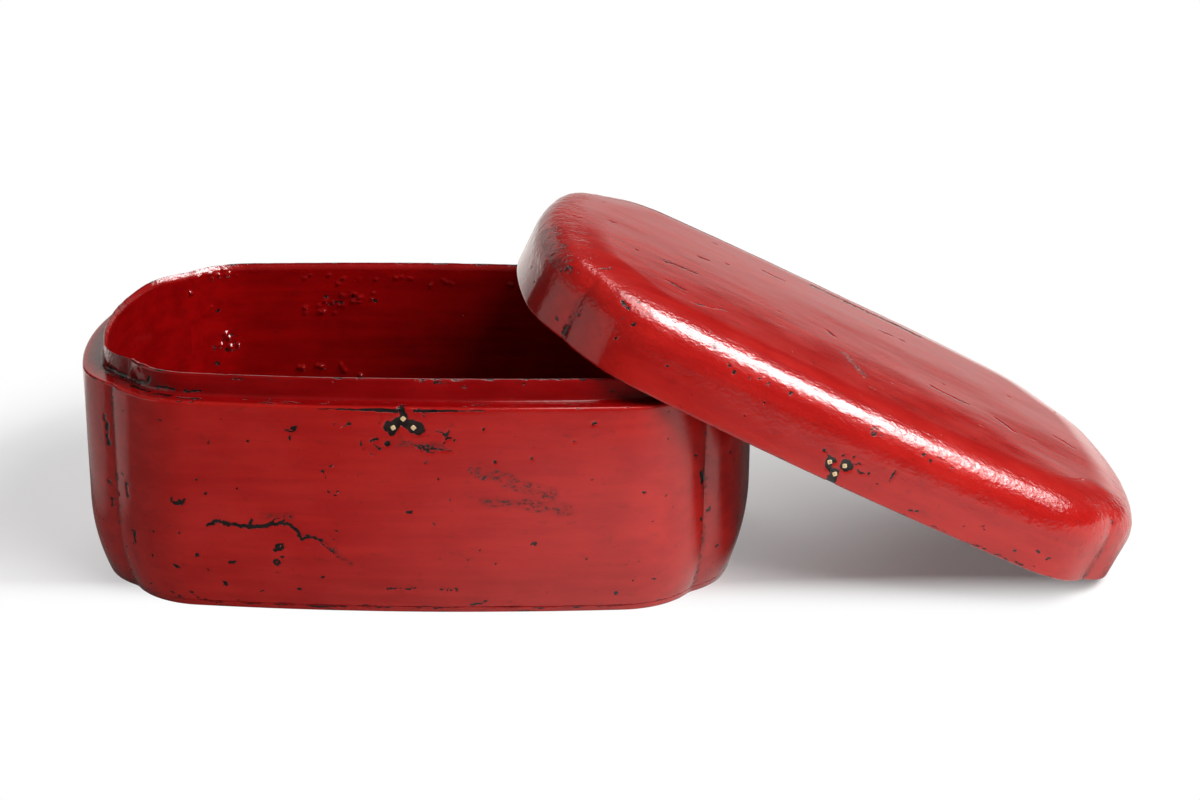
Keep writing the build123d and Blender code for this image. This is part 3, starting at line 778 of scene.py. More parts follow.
BLISTERS = {
    "rear_wall": Blisters(Marks(REAR_INSIDE_BLISTERS, FROM_FRONT, INNER_FACE), 1.8),
    "rear_flange": Blisters(Marks(REAR_FLANGE_BLISTERS, FROM_FRONT, INNER_FACE), 1.4),
    "front_wall": Blisters(Marks(LEDGE_BLISTERS, FROM_ABOVE, LEDGE_FACE), 0.6),
}


# Old lacquer: its relief and where it is worn

# Large odd numbers that scramble whole-number points
HASH_FACTORS = (73856093, 19349663, 83492791)
HASH_SEED_FACTOR, HASH_OFFSET = 2654435, 1013904223
HASH_SHIFTS, HASH_MIXER = (16, 13, 15), np.uint32(2246822519)
NO_LENGTH = 1e-9

Fields = namedtuple("Fields", "relief bare grime edge shelter rough")


def lattice_value(cell, seed):
    """Repeatable value from 0 to 1 at whole-number points."""
    x, y, z = (cell[..., axis].astype(np.uint32) * np.uint32(HASH_FACTORS[axis]) for axis in range(3))
    mixed = x ^ y ^ z ^ np.uint32(seed * HASH_SEED_FACTOR + HASH_OFFSET)
    for shift in HASH_SHIFTS:
        mixed = (mixed ^ (mixed >> np.uint32(shift))) * HASH_MIXER
    return mixed.astype(np.float64) / 2.0**32


def noise(place, size, seed):
    """Smooth noise from -1 to 1; size is the width of its bumps along x, y and z."""
    cell = place / np.asarray(size, dtype=float)
    corner = np.floor(cell).astype(np.int64)
    part = cell - corner
    ease = part**3 * (part * (part * 6 - 15) + 10)
    total = np.zeros(place.shape[:-1])
    for offset in np.ndindex(2, 2, 2):
        weight = np.prod(np.where(np.array(offset) == 1, ease, 1 - ease), axis=-1)
        total += weight * lattice_value(corner + np.array(offset), seed)
    return 2 * total - 1


def layered(place, layers, seed):
    """Noise of several heights and sizes laid over each other."""
    return sum(height * noise(place, size, seed + index) for index, (height, size) in enumerate(layers))


def step_between(value, low, high):
    """A smooth step of numbers between two limits."""
    share = np.clip((value - low) / (high - low), 0, 1)
    return share * share * (3 - 2 * share)


def nearness(value, target, reach):
    """One at a target, falling to nothing at a reach from it."""
    return np.clip(1 - np.abs(value - target) / reach, 0, 1)


def path_distance(points, path):
    """Distance of points in a plane from a path of straight runs."""
    nearest = np.full(len(points), np.inf)
    for start, finish in zip(path, path[1:] or path):
        start, run = np.array(start), np.array(finish) - np.array(start)
        share = np.clip((points - start) @ run / max(run @ run, NO_LENGTH), 0, 1)
        nearest = np.minimum(nearest, np.linalg.norm(points - start - share[:, None] * run, axis=1))
    return nearest


def face_depth(node, place, inset):
    """How far each point lies behind the outer face, also where that face curves in at the foot."""
    if node.endswith("_wall") or node == "base_board":
        return inset - foot_inset(place[:, 2])
    if node.endswith("_flange"):
        return inset - FLANGE_MIDDLE + INNER_FROM
    return inset


def mark_field(marks, place, depth):
    """A soft field over a face: a half at a stroke's edge, more inside it and less outside."""
    field = np.zeros(len(place))
    on_face = {
        OUTER_FACE: depth < INNER_FROM,
        INNER_FACE: depth > INNER_FROM,
        TOP_FACE: np.ones(len(place), dtype=bool),
        SHOULDER_FACE: place[:, 1] < SHOULDER_WIDTH - WIDTH / 2,
        LEDGE_FACE: place[:, 2] > WALL_HEIGHT - RIM_ROUNDING / 2,
    }[marks.face]
    points = place[on_face][:, marks.axes]
    for size, reach in MARK_WOBBLES:
        wobble = [noise(place[on_face], (size,) * 3, seed) for seed in WOBBLE_SEEDS]
        points = points + marks.wobble * reach * np.stack(wobble, axis=-1)
    reached = np.zeros(len(points))
    for stroke in marks.strokes:
        path = np.array(stroke.path)
        reach = stroke.half_width + marks.softness
        near = np.all((points > path.min(axis=0) - reach) & (points < path.max(axis=0) + reach), axis=1)
        distance = path_distance(points[near], stroke.path)
        level = 0.5 + (stroke.half_width - distance) / (2 * marks.softness)
        reached[near] = np.maximum(reached[near], level)
    field[on_face] = np.clip(reached, 0, 1)
    return field


def edge_field(node, place, inset):
    """How near each point is to an edge where hands and tables have rubbed."""
    height = place[:, 2]
    if node.endswith("_wall"):
        return np.maximum(nearness(height, WALL_HEIGHT, RIM_WEAR) * nearness(inset, 0, RIM_WEAR),
                          nearness(height, BASE_EDGE, FOOT_WEAR) * (inset < FOOT_INSET + FOOT_MARGIN))
    if node.endswith("_flange"):
        return nearness(height, FLANGE_TOP, FLANGE_WEAR)
    if node.endswith("_skirt"):
        return nearness(height, 0, SKIRT_WEAR)
    if node == "base_board":
        return nearness(inset, FOOT_INSET, FOOT_WEAR) * nearness(height, 0, BASE_WEAR)
    return np.zeros(len(place))


def groove_offset(place):
    """Distance in plan from the line down the middle of the nearest corner groove."""
    corner = np.stack([np.abs(place[:, 0]), -np.abs(place[:, 1])], axis=-1)
    return np.abs((corner - (SIDE_CORNER + END_CORNER) / 2) @ CORNER_GAP) / (2 * HALF_GAP)


def grime_and_groove_shade_field(node, place, inset):
    """Dirt in the corner at the flange's foot and on rubbed patches, and dirt with painted shade of the
    crease in the grooves.
    """
    grime = np.zeros(len(place))
    if node.endswith("_wall") or node.endswith("_flange"):
        foot = nearness(inset, LEDGE_WIDTH - LACQUER_FILLET, FLANGE_DIRT_WIDTH)
        foot = foot * nearness(place[:, 2], WALL_HEIGHT, FLANGE_DIRT_HEIGHT)
        from_corner = (place[:, :2] - DIRTY_CORNER) / DIRTY_CORNER_REACH
        level = FLANGE_DIRT + DIRTY_CORNER_GAIN * np.exp(-(from_corner**2).sum(axis=1))
        level = level + FLANGE_DIRT_VARIES * noise(place, FLANGE_DIRT_SIZE, FLANGE_DIRT_SEED)
        grime = foot * np.clip(level, 0, 1)
    depth = face_depth(node, place, inset)
    # In the grooves this field is dirt together with painted shade of the crease
    if node.endswith("_wall") or node.endswith("_skirt"):
        groove = (1 - step_between(groove_offset(place), *GROOVE_DIRT_AND_SHADE_EDGE)) * (depth < GROOVE_DIRT_AND_SHADE_DEPTH)
        level = GROOVE_DIRT_AND_SHADE + GROOVE_DIRT_AND_SHADE_VARIES * noise(place, GROOVE_DIRT_AND_SHADE_SIZE, GROOVE_DIRT_AND_SHADE_SEED)
        grime = np.maximum(grime, groove * level)
    if node in RUBBED:
        rubbed = mark_field(RUBBED[node], place, depth)
        grime = np.maximum(grime, RUBBED_DIRT * step_between(rubbed, *RUBBED_EDGE))
    return grime


def shelter_and_shade_field(node, place, inset):
    """Lacquer that the closed lid covers, which has kept a deeper red that is also painted shade of the
    inside, the ledge and the undersides; below the flange's inner top a band stays the lighter open red as
    painted light.
    """
    if node.endswith("_wall"):
        return step_between(face_depth(node, place, inset), *WALL_SHELTER_AND_SHADE)
    if node.endswith("_flange"):
        # Below the flange's inner top the open red stays, as a painted light band on the bevel
        return 1 - (inset > FLANGE_MIDDLE) * nearness(place[:, 2], FLANGE_TOP, FLANGE_PAINTED_LIGHT_FALL)
    if node == "base_board":
        return (place[:, 2] > BASE_EDGE).astype(float)
    if node == "lid_top_board":
        return ((place[:, 2] <= SKIRT_HEIGHT) & (inset > SKIRT_THICKNESS / 2)).astype(float)
    return step_between(inset, *SKIRT_SHELTER_AND_SHADE)


def rough_share(node, place, inset):
    """Where the surface is hammered: on the lid's shoulder most, and round the rims."""
    height = place[:, 2]
    if node == "lid_top_board":
        return LID_TOP_ROUGH + (1 - LID_TOP_ROUGH) * (1 - step_between(inset, *LID_ROUGH_INSETS))
    if node.endswith("_skirt"):
        return SKIRT_ROUGH + (1 - SKIRT_ROUGH) * step_between(height, SKIRT_ROUGH_FROM, SKIRT_HEIGHT)
    if node == "front_flange":
        return np.full(len(place), FRONT_FLANGE_ROUGH)
    if node.endswith("_flange"):
        return FLANGE_ROUGH + FLANGE_ROUGH_GAIN * step_between(height, WALL_HEIGHT, FLANGE_TOP)
    return np.full(len(place), WALL_ROUGH)


def dress(node, place, weight, inset):
    """Relief and fields of one piece's lacquer."""
    seed = LID_SEED if node.startswith("lid_") else BOX_SEED
    rough = rough_share(node, place, inset)
    depth = face_depth(node, place, inset)
    relief = layered(place, WAVES, seed) + layered(place, DENTS, seed + DENT_SEED) * rough
    bare = np.zeros(len(place))
    for marks in MARKS.get(node, []):
        bare = np.maximum(bare, mark_field(marks, place, depth))
    relief -= MARK_DEPTH * step_between(bare, *MARK_EDGE)
    if node in BLISTERS:
        blister = mark_field(BLISTERS[node].marks, place, depth)
        relief += BLISTERS[node].height * step_between(blister, *BLISTER_EDGE)
    if node == "front_flange":
        from_bump = np.linalg.norm(place[:, :2] - FLANGE_BUMP, axis=1) / FLANGE_BUMP_WIDTH
        relief += FLANGE_BUMP_HEIGHT * np.exp(-(from_bump**2)) * step_between(place[:, 2], *FLANGE_BUMP_RISE)
    fields = (field(node, place, inset) for field in (grime_and_groove_shade_field, edge_field, shelter_and_shade_field))
    return Fields(relief * weight, bare * weight, *fields, rough)


# Meshes

def new_piece(name, points, faces, place, fields, sharp):
    """A smooth-shaded object in the frame's metres, not below the ground, with its fields as attributes."""
    mesh = bpy.data.meshes.new(name)
    points[:, 2] = np.maximum(points[:, 2], 0.0)
    mesh.from_pydata((points * MM).tolist(), [], faces)
    mesh.polygons.foreach_set("use_smooth", np.ones(len(mesh.polygons), dtype=bool))
    ends = np.empty(len(mesh.edges) * 2, dtype=np.int64)
    mesh.edges.foreach_get("vertices", ends)
    loops = sharp[ends.reshape(-1, 2)]
    is_sharp = (loops[:, 0] & loops[:, 1]) > 0
    mesh.attributes.new("sharp_edge", "BOOLEAN", "EDGE").data.foreach_set("value", is_sharp)
    mesh.attributes.new("place", "FLOAT_VECTOR", "POINT").data.foreach_set("vector", place.ravel())
    for field in Fields._fields[1:]:
        layer = mesh.attributes.new(field, "FLOAT", "POINT")
        layer.data.foreach_set("value", getattr(fields, field))
    mesh.update()
    piece = bpy.data.objects.new(name, mesh)
    bpy.context.scene.collection.objects.link(piece)
    return piece


def swept(lobe, section):
    """Undisturbed places and outward normals where a section is carried along a lobe."""
    stations, rows = len(lobe.outline), len(section.inset)
    place = np.empty((stations, rows, 3))
    normal = np.empty((stations, rows, 3))
    inset = section.inset[None, :, None]
    place[..., :2] = lobe.outline[:, None, :] - inset * lobe.outward[:, None, :]
    place[..., 2] = section.height[None, :]
    normal[..., :2] = lobe.outward[:, None, :] * section.outward[None, :, None]
    normal[..., 2] = section.upward[None, :]
    return place, normal


def strip_faces(indices, closed_rows):
    """Quads between neighbouring stations and rows of a grid of vertex numbers."""
    if closed_rows:
        indices = np.concatenate([indices, indices[:, :1]], axis=1)
    quads = [indices[:-1, :-1], indices[1:, :-1], indices[1:, 1:], indices[:-1, 1:]]
    return np.stack(quads, axis=-1).reshape(-1, 4).tolist()


def crease_loops(indices, section, count):
    """For each vertex, a bit for every sharp loop that it lies on; the first two bits are left free."""
    loops = np.zeros(count, dtype=np.int64)
    for bit, row in enumerate(np.flatnonzero(section.creased), start=2):
        loops[indices[:, row]] |= 1 << bit
    return loops


def sweep_piece(node, lobe, section, to_frame):
    """A board of one section along one lobe, closed by flat ends in the grooves."""
    place, normal = swept(lobe, section)
    stations, rows = place.shape[:2]
    place, normal = place.reshape(-1, 3), normal.reshape(-1, 3)
    fields = dress(node, place, np.tile(section.relief, stations), np.tile(section.inset, stations))
    points = to_frame(place + normal * fields.relief[:, None])
    if lobe is LOBES["left"] or lobe is LOBES["right"]:
        place = place[:, [1, 0, 2]]
    indices = np.arange(stations * rows).reshape(stations, rows)
    faces = strip_faces(indices, True)
    faces += [indices[0].tolist(), indices[-1][::-1].tolist()]
    sharp = crease_loops(indices, section, len(place))
    sharp[indices[0]] |= 1
    sharp[indices[-1]] |= 2
    return new_piece("lacquered_" + node, points, faces, place, fields, sharp)


def patch(front, right, rear, left):
    """Points inside four edge curves; front and rear run left to right, the others front to rear."""
    columns, rows = len(front), len(left)
    a = np.linspace(0, 1, columns)[:, None, None]
    b = np.linspace(0, 1, rows)[None, :, None]
    across = (1 - b) * front[:, None] + b * rear[:, None]
    along = (1 - a) * left[None] + a * right[None]
    corners = (1 - a) * ((1 - b) * front[0] + b * rear[0]) + a * ((1 - b) * front[-1] + b * rear[-1])
    return across + along - corners


def dome(grid, axis):
    """Nothing at both ends of each line of a grid and one in its middle, by distance along it."""
    runs = np.linalg.norm(np.diff(grid, axis=axis), axis=-1)
    reached = np.insert(np.cumsum(runs, axis=axis), 0, 0.0, axis=axis)
    share = reached / np.take(reached, [-1], axis=axis)
    return 4 * share * (1 - share)


def fill_grooves(place, inset, share_filled):
    """Raise the corner grooves towards the straight run between the corners, by a share per row."""
    for flip in ((1, 1), (-1, 1), (1, -1), (-1, -1)):
        run, outward = CORNER_GAP * flip, MITRE_OUTWARD * flip
        from_corner = place[..., :2] - SIDE_CORNER * flip
        share, reach = from_corner @ run / (run @ run), from_corner @ outward
        in_groove = (share > 0) & (share < 1) & (reach > CORNER_RADIUS / 4)
        short = np.where(in_groove, np.maximum(CORNER_RADIUS - inset - reach, 0), 0)
        place[..., :2] += (share_filled * short)[..., None] * outward


def board_piece(node, lobes, section, crown, to_frame):
    """A whole board: its edge runs round all four lobes, and its middle is closed above and below."""
    rings = [swept(lobes[side], section) for side in ("front", "right", "rear", "left")]
    place = np.concatenate([ring_place[:-1] for ring_place, _ in rings])
    normal = np.concatenate([ring_normal[:-1] for _, ring_normal in rings])
    if node == "lid_top_board":
        fill_grooves(place, section.inset, step_between(section.height, *GROOVE_FADES))
    stations, rows = place.shape[:2]
    indices = np.arange(stations * rows).reshape(stations, rows)
    around = np.concatenate([indices, indices[:1]])
    faces = strip_faces(around, False)
    lengths = [len(lobes[side].outline) - 1 for side in ("front", "right")]
    seams = np.cumsum([0, *lengths, *lengths])

    edge_place = place.reshape(-1, 3)
    places, normals = [edge_place], [normal.reshape(-1, 3)]
    relief, insets = [np.tile(section.relief, stations)], [np.tile(section.inset, stations)]
    used = stations * rows
    for row, facing_up in ((0, -1), (rows - 1, 1)):
        sides = [around[start:finish + 1, row] for start, finish in zip(seams, seams[1:])]
        front, right, rear, left = sides[0], sides[1], sides[2][::-1], sides[3][::-1]
        middle = patch(edge_place[front], edge_place[right], edge_place[rear], edge_place[left])
        if facing_up > 0:
            middle[..., 2] += crown * dome(middle, 0) * dome(middle, 1)
        grid = np.empty(middle.shape[:2], dtype=np.int64)
        inner = middle[1:-1, 1:-1].reshape(-1, 3)
        grid[1:-1, 1:-1] = used + np.arange(len(inner)).reshape(grid[1:-1, 1:-1].shape)
        grid[:, 0], grid[:, -1], grid[0, :], grid[-1, :] = front, rear, left, right
        used += len(inner)
        faces += strip_faces(grid if facing_up > 0 else grid[::-1], False)
        places.append(inner)
        normals.append(np.tile([0.0, 0.0, facing_up], (len(inner), 1)))
        relief.append(np.full(len(inner), section.relief[row]))
        insets.append(np.full(len(inner), section.inset[row]))

    place = np.vstack(places)
    fields = dress(node, place, np.concatenate(relief), np.concatenate(insets))
    points = to_frame(place + np.vstack(normals) * fields.relief[:, None])
    sharp = crease_loops(indices, section, used)
    return new_piece("lacquered_" + node, points, faces, place, fields, sharp)


def box_frame(points):
    """The box is modelled where it stands."""
    return points


def lid_frame(points):
    """From the lid's own frame to where it leans, its right end's lower edge on the ground."""
    tilt = math.radians(LID_TILT)
    edge_x = LENGTH / 2 - RIM_ROUNDING
    height = edge_x * math.sin(tilt) - RIM_ROUNDING * math.cos(tilt) + RIM_ROUNDING + LID_FLOOR_GAP
    turned = np.empty_like(points)
    turned[:, 0] = points[:, 0] * math.cos(tilt) + points[:, 2] * math.sin(tilt) + LID_CENTRE_X
    turned[:, 1] = points[:, 1]
    turned[:, 2] = points[:, 2] * math.cos(tilt) - points[:, 0] * math.sin(tilt) + height
    return turned


def plug_piece(name, plugs, to_frame):
    """Square pegs with a worn, slightly domed end and a small hole in its middle."""
    around = np.radians(np.arange(PLUG_SPOKES) * 360 / PLUG_SPOKES)
    shape = np.stack([np.cos(around), np.sin(around)], axis=-1)
    shape /= (np.abs(shape) ** PLUG_SQUARENESS).sum(axis=1, keepdims=True) ** (1 / PLUG_SQUARENESS)
    points, faces = [], []
    for along, height, turn in plugs:
        numbers = len(points) + np.arange(len(PLUG_RINGS) * PLUG_SPOKES).reshape(len(PLUG_RINGS), PLUG_SPOKES)
        cos, sin = math.cos(math.radians(turn)), math.sin(math.radians(turn))
        for scale, depth in PLUG_RINGS:
            for x, z in shape * scale * PLUG_SIDE / 2:
                points.append((along + x * cos - z * sin, depth - WIDTH / 2, height + x * sin + z * cos))
        for ring, next_ring in zip(numbers, numbers[1:]):
            faces += np.stack([ring, np.roll(ring, -1), np.roll(next_ring, -1), next_ring], axis=1).tolist()
        faces += [numbers[0][::-1].tolist(), numbers[-1].tolist()]
    place = np.array(points)
    fields = Fields(*[np.zeros(len(place))] * len(Fields._fields))
    return new_piece(name, to_frame(place), faces, place, fields, np.zeros(len(place), dtype=np.int64))


# Materials

def add_node(tree, kind, inputs, **settings):
    """A node with its settings, and its inputs linked or set by name."""
    made = tree.nodes.new(kind)
    for name, value in settings.items():
        setattr(made, name, value)
    for name, value in inputs.items():
        socket = made.inputs[name]
        if isinstance(value, bpy.types.NodeSocket):
            tree.links.new(value, socket)
        else:
            socket.default_value = value
    return made


def calculate(tree, operation, first, *others):
    """A sum, product or the like of two or more numbers."""
    for other in others:
        first = add_node(tree, "ShaderNodeMath", {0: first, 1: other}, operation=operation).outputs[0]
    return first


def weighted_sum(tree, *terms):
    """The sum of numbers times their weights."""
    return calculate(tree, "ADD", *[calculate(tree, "MULTIPLY", value, weight) for value, weight in terms])


def between(tree, value, low, high, from_value=0.0, to_value=1.0):
    """A smooth step of a number between two limits."""
    inputs = {"Value": value, "From Min": low, "From Max": high, "To Min": from_value, "To Max": to_value}
    return add_node(tree, "ShaderNodeMapRange", inputs, interpolation_type="SMOOTHSTEP").outputs["Result"]


def mix_colour(tree, factor, first, second):
    """A mix of two colours, at the colour mixer's sockets 6 and 7."""
    return add_node(tree, "ShaderNodeMix", {0: factor, 6: first, 7: second}, data_type="RGBA").outputs[2]


def divided_place(tree, place, size):
    """A place measured in a pattern's own size."""
    return add_node(tree, "ShaderNodeVectorMath", {0: place, 1: size}, operation="DIVIDE").outputs[0]


def grain(tree, place, pattern):
    """Noise from 0 to 1 of a named pattern."""
    size, detail, roughness = GRAINS[pattern]
    inputs = {
        "Vector": divided_place(tree, place, size), "Scale": 1.0, "Detail": detail, "Roughness": roughness,
    }
    return add_node(tree, "ShaderNodeTexNoise", inputs).outputs["Fac"]


def stored(tree, field, output="Fac"):
    """A field stored on the mesh."""
    return add_node(tree, "ShaderNodeAttribute", {}, attribute_name=field).outputs[output]


def new_tree(name):
    """An empty node material and its tree."""
    material = bpy.data.materials.new(name)
    material.use_nodes = True
    tree = material.node_tree
    tree.nodes.clear()
    return material, tree


def finish_material(tree, surface):
    """A shader becomes the surface."""
    add_node(tree, "ShaderNodeOutputMaterial", {"Surface": surface})


def specks(tree, place, spacing, share, radius):
    """Small round dots in a share of the cells of an irregular grid."""
    inputs = {"Vector": divided_place(tree, place, (spacing,) * 3), "Scale": 1.0}
    cells = add_node(tree, "ShaderNodeTexVoronoi", inputs).outputs
    chance = add_node(tree, "ShaderNodeSeparateColor", {0: cells["Color"]}).outputs
    size = calculate(tree, "MULTIPLY", chance["Green"], radius / spacing)
    depth = calculate(tree, "SUBTRACT", size, cells["Distance"])
    inside = between(tree, depth, 0.0, DOT_SOFTNESS * radius / spacing)
    return calculate(tree, "MULTIPLY", inside, calculate(tree, "LESS_THAN", chance["Red"], share))


def red_coat(tree, place, fine_streak, cloud):
    """Colour of sound lacquer: brushed along the board, clouded, and deeper where it was covered, which is
    also painted shade there.
    """
    tone = weighted_sum(tree, (grain(tree, place, "streak"), TONE_STREAK), (cloud, TONE_CLOUD))
    tone = between(tree, tone, *TONE_LIMITS)
    open_red, kept_red_and_shade = mix_colour(tree, tone, *OPEN_RED), mix_colour(tree, tone, *KEPT_RED_AND_SHADE)
    red = mix_colour(tree, stored(tree, "shelter"), open_red, kept_red_and_shade)
    streaked = between(tree, fine_streak, *STREAK_LIMITS, 0.0, STREAK_MOST)
    return mix_colour(tree, streaked, red, STREAK_RED)


def lacquer_material(name):
    """Old red lacquer over black, chipped and rubbed, with dirt, painted shade in its grooves, and a deeper
    red that is also painted shade where the lid covers.
    """
    material, tree = new_tree(name)
    place = stored(tree, "place", "Vector")
    bare, grime, edge, rough = (stored(tree, field) for field in ("bare", "grime", "edge", "rough"))
    patterns = ("fine_streak", "cloud", "ragged", "flake", "smudge", "dimples")
    fine_streak, cloud, ragged, flake, smudge, dimples = (grain(tree, place, pattern) for pattern in patterns)

    unevenness = weighted_sum(tree, (calculate(tree, "SUBTRACT", ragged, 0.5), TORN_RAGGED))
    torn = calculate(tree, "ADD", bare, unevenness)
    chipped = between(tree, torn, *CHIP_LIMITS)
    halo = between(tree, torn, *HALO_LIMITS, 0.0, HALO_MOST)
    worn_edge = between(tree, weighted_sum(tree, (edge, EDGE_SHARE), (flake, 1.0)), *EDGE_LIMITS)
    rubbing = weighted_sum(tree, (grime, RUB_DIRT_AND_SHADE), (ragged, RUB_RAGGED), (flake, RUB_FLAKE))
    rubbed = weighted_sum(tree, (between(tree, rubbing, *RUB_LIMITS), RUB_BLACK))
    dots = calculate(tree, "MAXIMUM", *[specks(tree, place, *dot) for dot in DOTS])
    black = calculate(tree, "MAXIMUM", chipped, worn_edge, rubbed, weighted_sum(tree, (dots, DOT_BLACK)))

    # The dirt field also carries painted shade in the grooves, mixed towards the dark red
    dirt_and_groove_shade = calculate(tree, "MULTIPLY", grime, between(tree, flake, *DIRT_AND_SHADE_LIMITS, *DIRT_AND_SHADE_RANGE))
    smudged = between(tree, smudge, *SMUDGE_LIMITS, 0.0, SMUDGE_MOST)
    shade = calculate(tree, "MAXIMUM", halo, smudged, dirt_and_groove_shade)
    red = mix_colour(tree, shade, red_coat(tree, place, fine_streak, cloud), DIRT_AND_SHADE_RED)
    ground = mix_colour(tree, between(tree, flake, *GROUND_LIMITS), *BLACK_GROUND)
    gloss = between(tree, cloud, *GLOSS_LIMITS, *GLOSS_RANGE)
    dull = calculate(tree, "MAXIMUM", black, dirt_and_groove_shade)
    dulling = weighted_sum(tree, (dull, DULL_GAIN), (rough, HAMMERED_GAIN))
    pitted = calculate(tree, "MULTIPLY", dimples, rough)
    height = weighted_sum(tree, (fine_streak, STREAK_BUMP), (cloud, CLOUD_BUMP), (ragged, RAGGED_BUMP),
                          (pitted, DIMPLE_BUMP), (black, CHIP_BUMP))
    bump = add_node(tree, "ShaderNodeBump", {"Height": height, "Distance": MM, "Strength": 1.0})
    shader = add_node(tree, "ShaderNodeBsdfPrincipled", {
        "Base Color": mix_colour(tree, black, red, ground),
        "Roughness": calculate(tree, "ADD", gloss, dulling),
        "Specular IOR Level": LACQUER_SPECULAR,
        "Normal": bump.outputs["Normal"],
    })
    finish_material(tree, shader.outputs["BSDF"])
    return material


def wood_material(name):
    """Pale wood of the pegs and plugs, darker in pores and stained by age."""
    material, tree = new_tree(name)
    own = add_node(tree, "ShaderNodeTexCoord", {}).outputs["Object"]
    place = divided_place(tree, own, (MM,) * 3)
    fibre, stain = grain(tree, place, "fibre"), grain(tree, place, "stain")
    clean = mix_colour(tree, between(tree, fibre, *FIBRE_LIMITS), *WOOD_COLOURS)
    stained = between(tree, stain, *STAIN_LIMITS, 0.0, STAIN_MOST)
    bump = add_node(tree, "ShaderNodeBump", {"Height": fibre, "Distance": FIBRE_BUMP * MM, "Strength": 1.0})
    shader = add_node(tree, "ShaderNodeBsdfPrincipled", {
        "Base Color": mix_colour(tree, stained, clean, WOOD_STAIN),
        "Roughness": between(tree, fibre, *WOOD_GLOSS_LIMITS, *WOOD_GLOSS_RANGE),
        "Normal": bump.outputs["Normal"],
    })
    finish_material(tree, shader.outputs["BSDF"])
    return material


# Pieces on their bodies

FINISHES = {"red_lacquer": lacquer_material("red_lacquer"), "pale_wood": wood_material("pale_wood")}


def settle(piece, node, body, slot):
    """A piece stands for a CAD node, rides on its body and takes a finish."""
    piece.data.materials.append(FINISHES[slot])
    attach(piece, body)
    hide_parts(node)


def build_object():
    """All the pieces that show, each in place of its CAD node."""
    wall, skirt = wall_section(), skirt_section()
    for side, lobe in LOBES.items():
        made = {
            side + "_wall": (wall, box_frame, "box"),
            side + "_flange": (flange_section(side), box_frame, "box"),
            "lid_" + side + "_skirt": (skirt, lid_frame, "lid"),
        }
        for node, (section, to_frame, body) in made.items():
            settle(sweep_piece(node, lobe, section, to_frame), node, body, "red_lacquer")
    base = board_piece("base_board", BASE_LOBES, base_board_section(), 0.0, box_frame)
    settle(base, "base_board", "box", "red_lacquer")
    top = board_piece("lid_top_board", LOBES, lid_board_section(), LID_CROWN, lid_frame)
    settle(top, "lid_top_board", "lid", "red_lacquer")
    plugs = plug_piece("wooden_clasp_plugs", BOX_PLUGS, box_frame)
    settle(plugs, "clasp_plugs", "box", "pale_wood")
    plugs = plug_piece("wooden_lid_clasp_plugs", LID_PLUGS, lid_frame)
    settle(plugs, "lid_clasp_plugs", "lid", "pale_wood")
    for node in ("base_pegs", "lid_pegs"):
        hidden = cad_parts[node]
        hidden.data.materials.clear()
        hidden.data.materials.append(FINISHES["pale_wood"])


# Stage, lights and camera

def stage_material(name, glow_and_level):
    """White paper that takes shadows and glows to the eye and in gloss, by a rule for share and level."""
    material, tree = new_tree(name)
    seen = tree.nodes.new("ShaderNodeLightPath").outputs
    camera_rays = seen["Is Camera Ray"]
    rays = calculate(tree, "MAXIMUM", camera_rays, seen["Is Glossy Ray"], seen["Is Transmission Ray"])
    position = tree.nodes.new("ShaderNodeNewGeometry").outputs["Position"]
    axes = add_node(tree, "ShaderNodeSeparateXYZ", {0: position}).outputs
    glow, level = glow_and_level(tree, axes, camera_rays)
    paper = add_node(tree, "ShaderNodeBsdfDiffuse", {"Color": PAPER}).outputs[0]
    tint = mix_colour(tree, camera_rays, WARM_WHITE, WHITE)
    light = add_node(tree, "ShaderNodeEmission", {"Color": tint, "Strength": level}).outputs[0]
    factor = calculate(tree, "MULTIPLY", rays, glow)
    finish_material(tree, add_node(tree, "ShaderNodeMixShader", {0: factor, 1: paper, 2: light}).outputs[0])
    return material


def floor_glow(tree, axes, camera_rays):
    """To the eye the floor glows away from the object's shadow; in gloss its light is painted, bright right
    and behind, with a painted shadow under the lid.
    """
    x, y = axes["X"], axes["Y"]
    glows = [between(tree, y, *FRONT_GLOW_Y, 1.0, 0.0)]
    for ring in GLOW_RINGS:
        runs = [calculate(tree, "SUBTRACT", axis, middle) for axis, middle in zip((x, y), ring.centre)]
        squared = calculate(tree, "ADD", *[calculate(tree, "MULTIPLY", run, run) for run in runs])
        distance = calculate(tree, "POWER", squared, 0.5)
        glows.append(between(tree, distance, ring.start, ring.finish, ring.low, ring.high))
    ahead = calculate(tree, "MULTIPLY", between(tree, y, *AHEAD_GLOSS_Y, AHEAD_GLOSS_LEAST, 1.0),
                      between(tree, x, *RIGHT_GLOSS_X, RIGHT_GLOSS_LEAST, 1.0))
    on_left = calculate(tree, "MULTIPLY", between(tree, x, *LEFT_GLOSS_X, 0.0, LEFT_GLOSS),
                        between(tree, y, *LEFT_GLOSS_Y))
    behind = between(tree, y, *REAR_GLOSS_Y, 0.0, REAR_GLOSS)
    # A painted shadow of the lid on the floor, seen only in gloss
    painted_lid_shadow = calculate(tree, "MULTIPLY", between(tree, y, *PAINTED_LID_SHADOW_Y),
                          *[between(tree, x, *limits) for limits in PAINTED_LID_SHADOW_X], PAINTED_LID_SHADOW_DARK)
    in_gloss = calculate(tree, "SUBTRACT", 1.0, camera_rays)
    gloss = calculate(tree, "MULTIPLY", calculate(tree, "MAXIMUM", ahead, on_left, behind),
                      calculate(tree, "SUBTRACT", 1.0, painted_lid_shadow), in_gloss)
    return calculate(tree, "MAXIMUM", in_gloss, *glows), calculate(tree, "MAXIMUM", gloss, camera_rays)


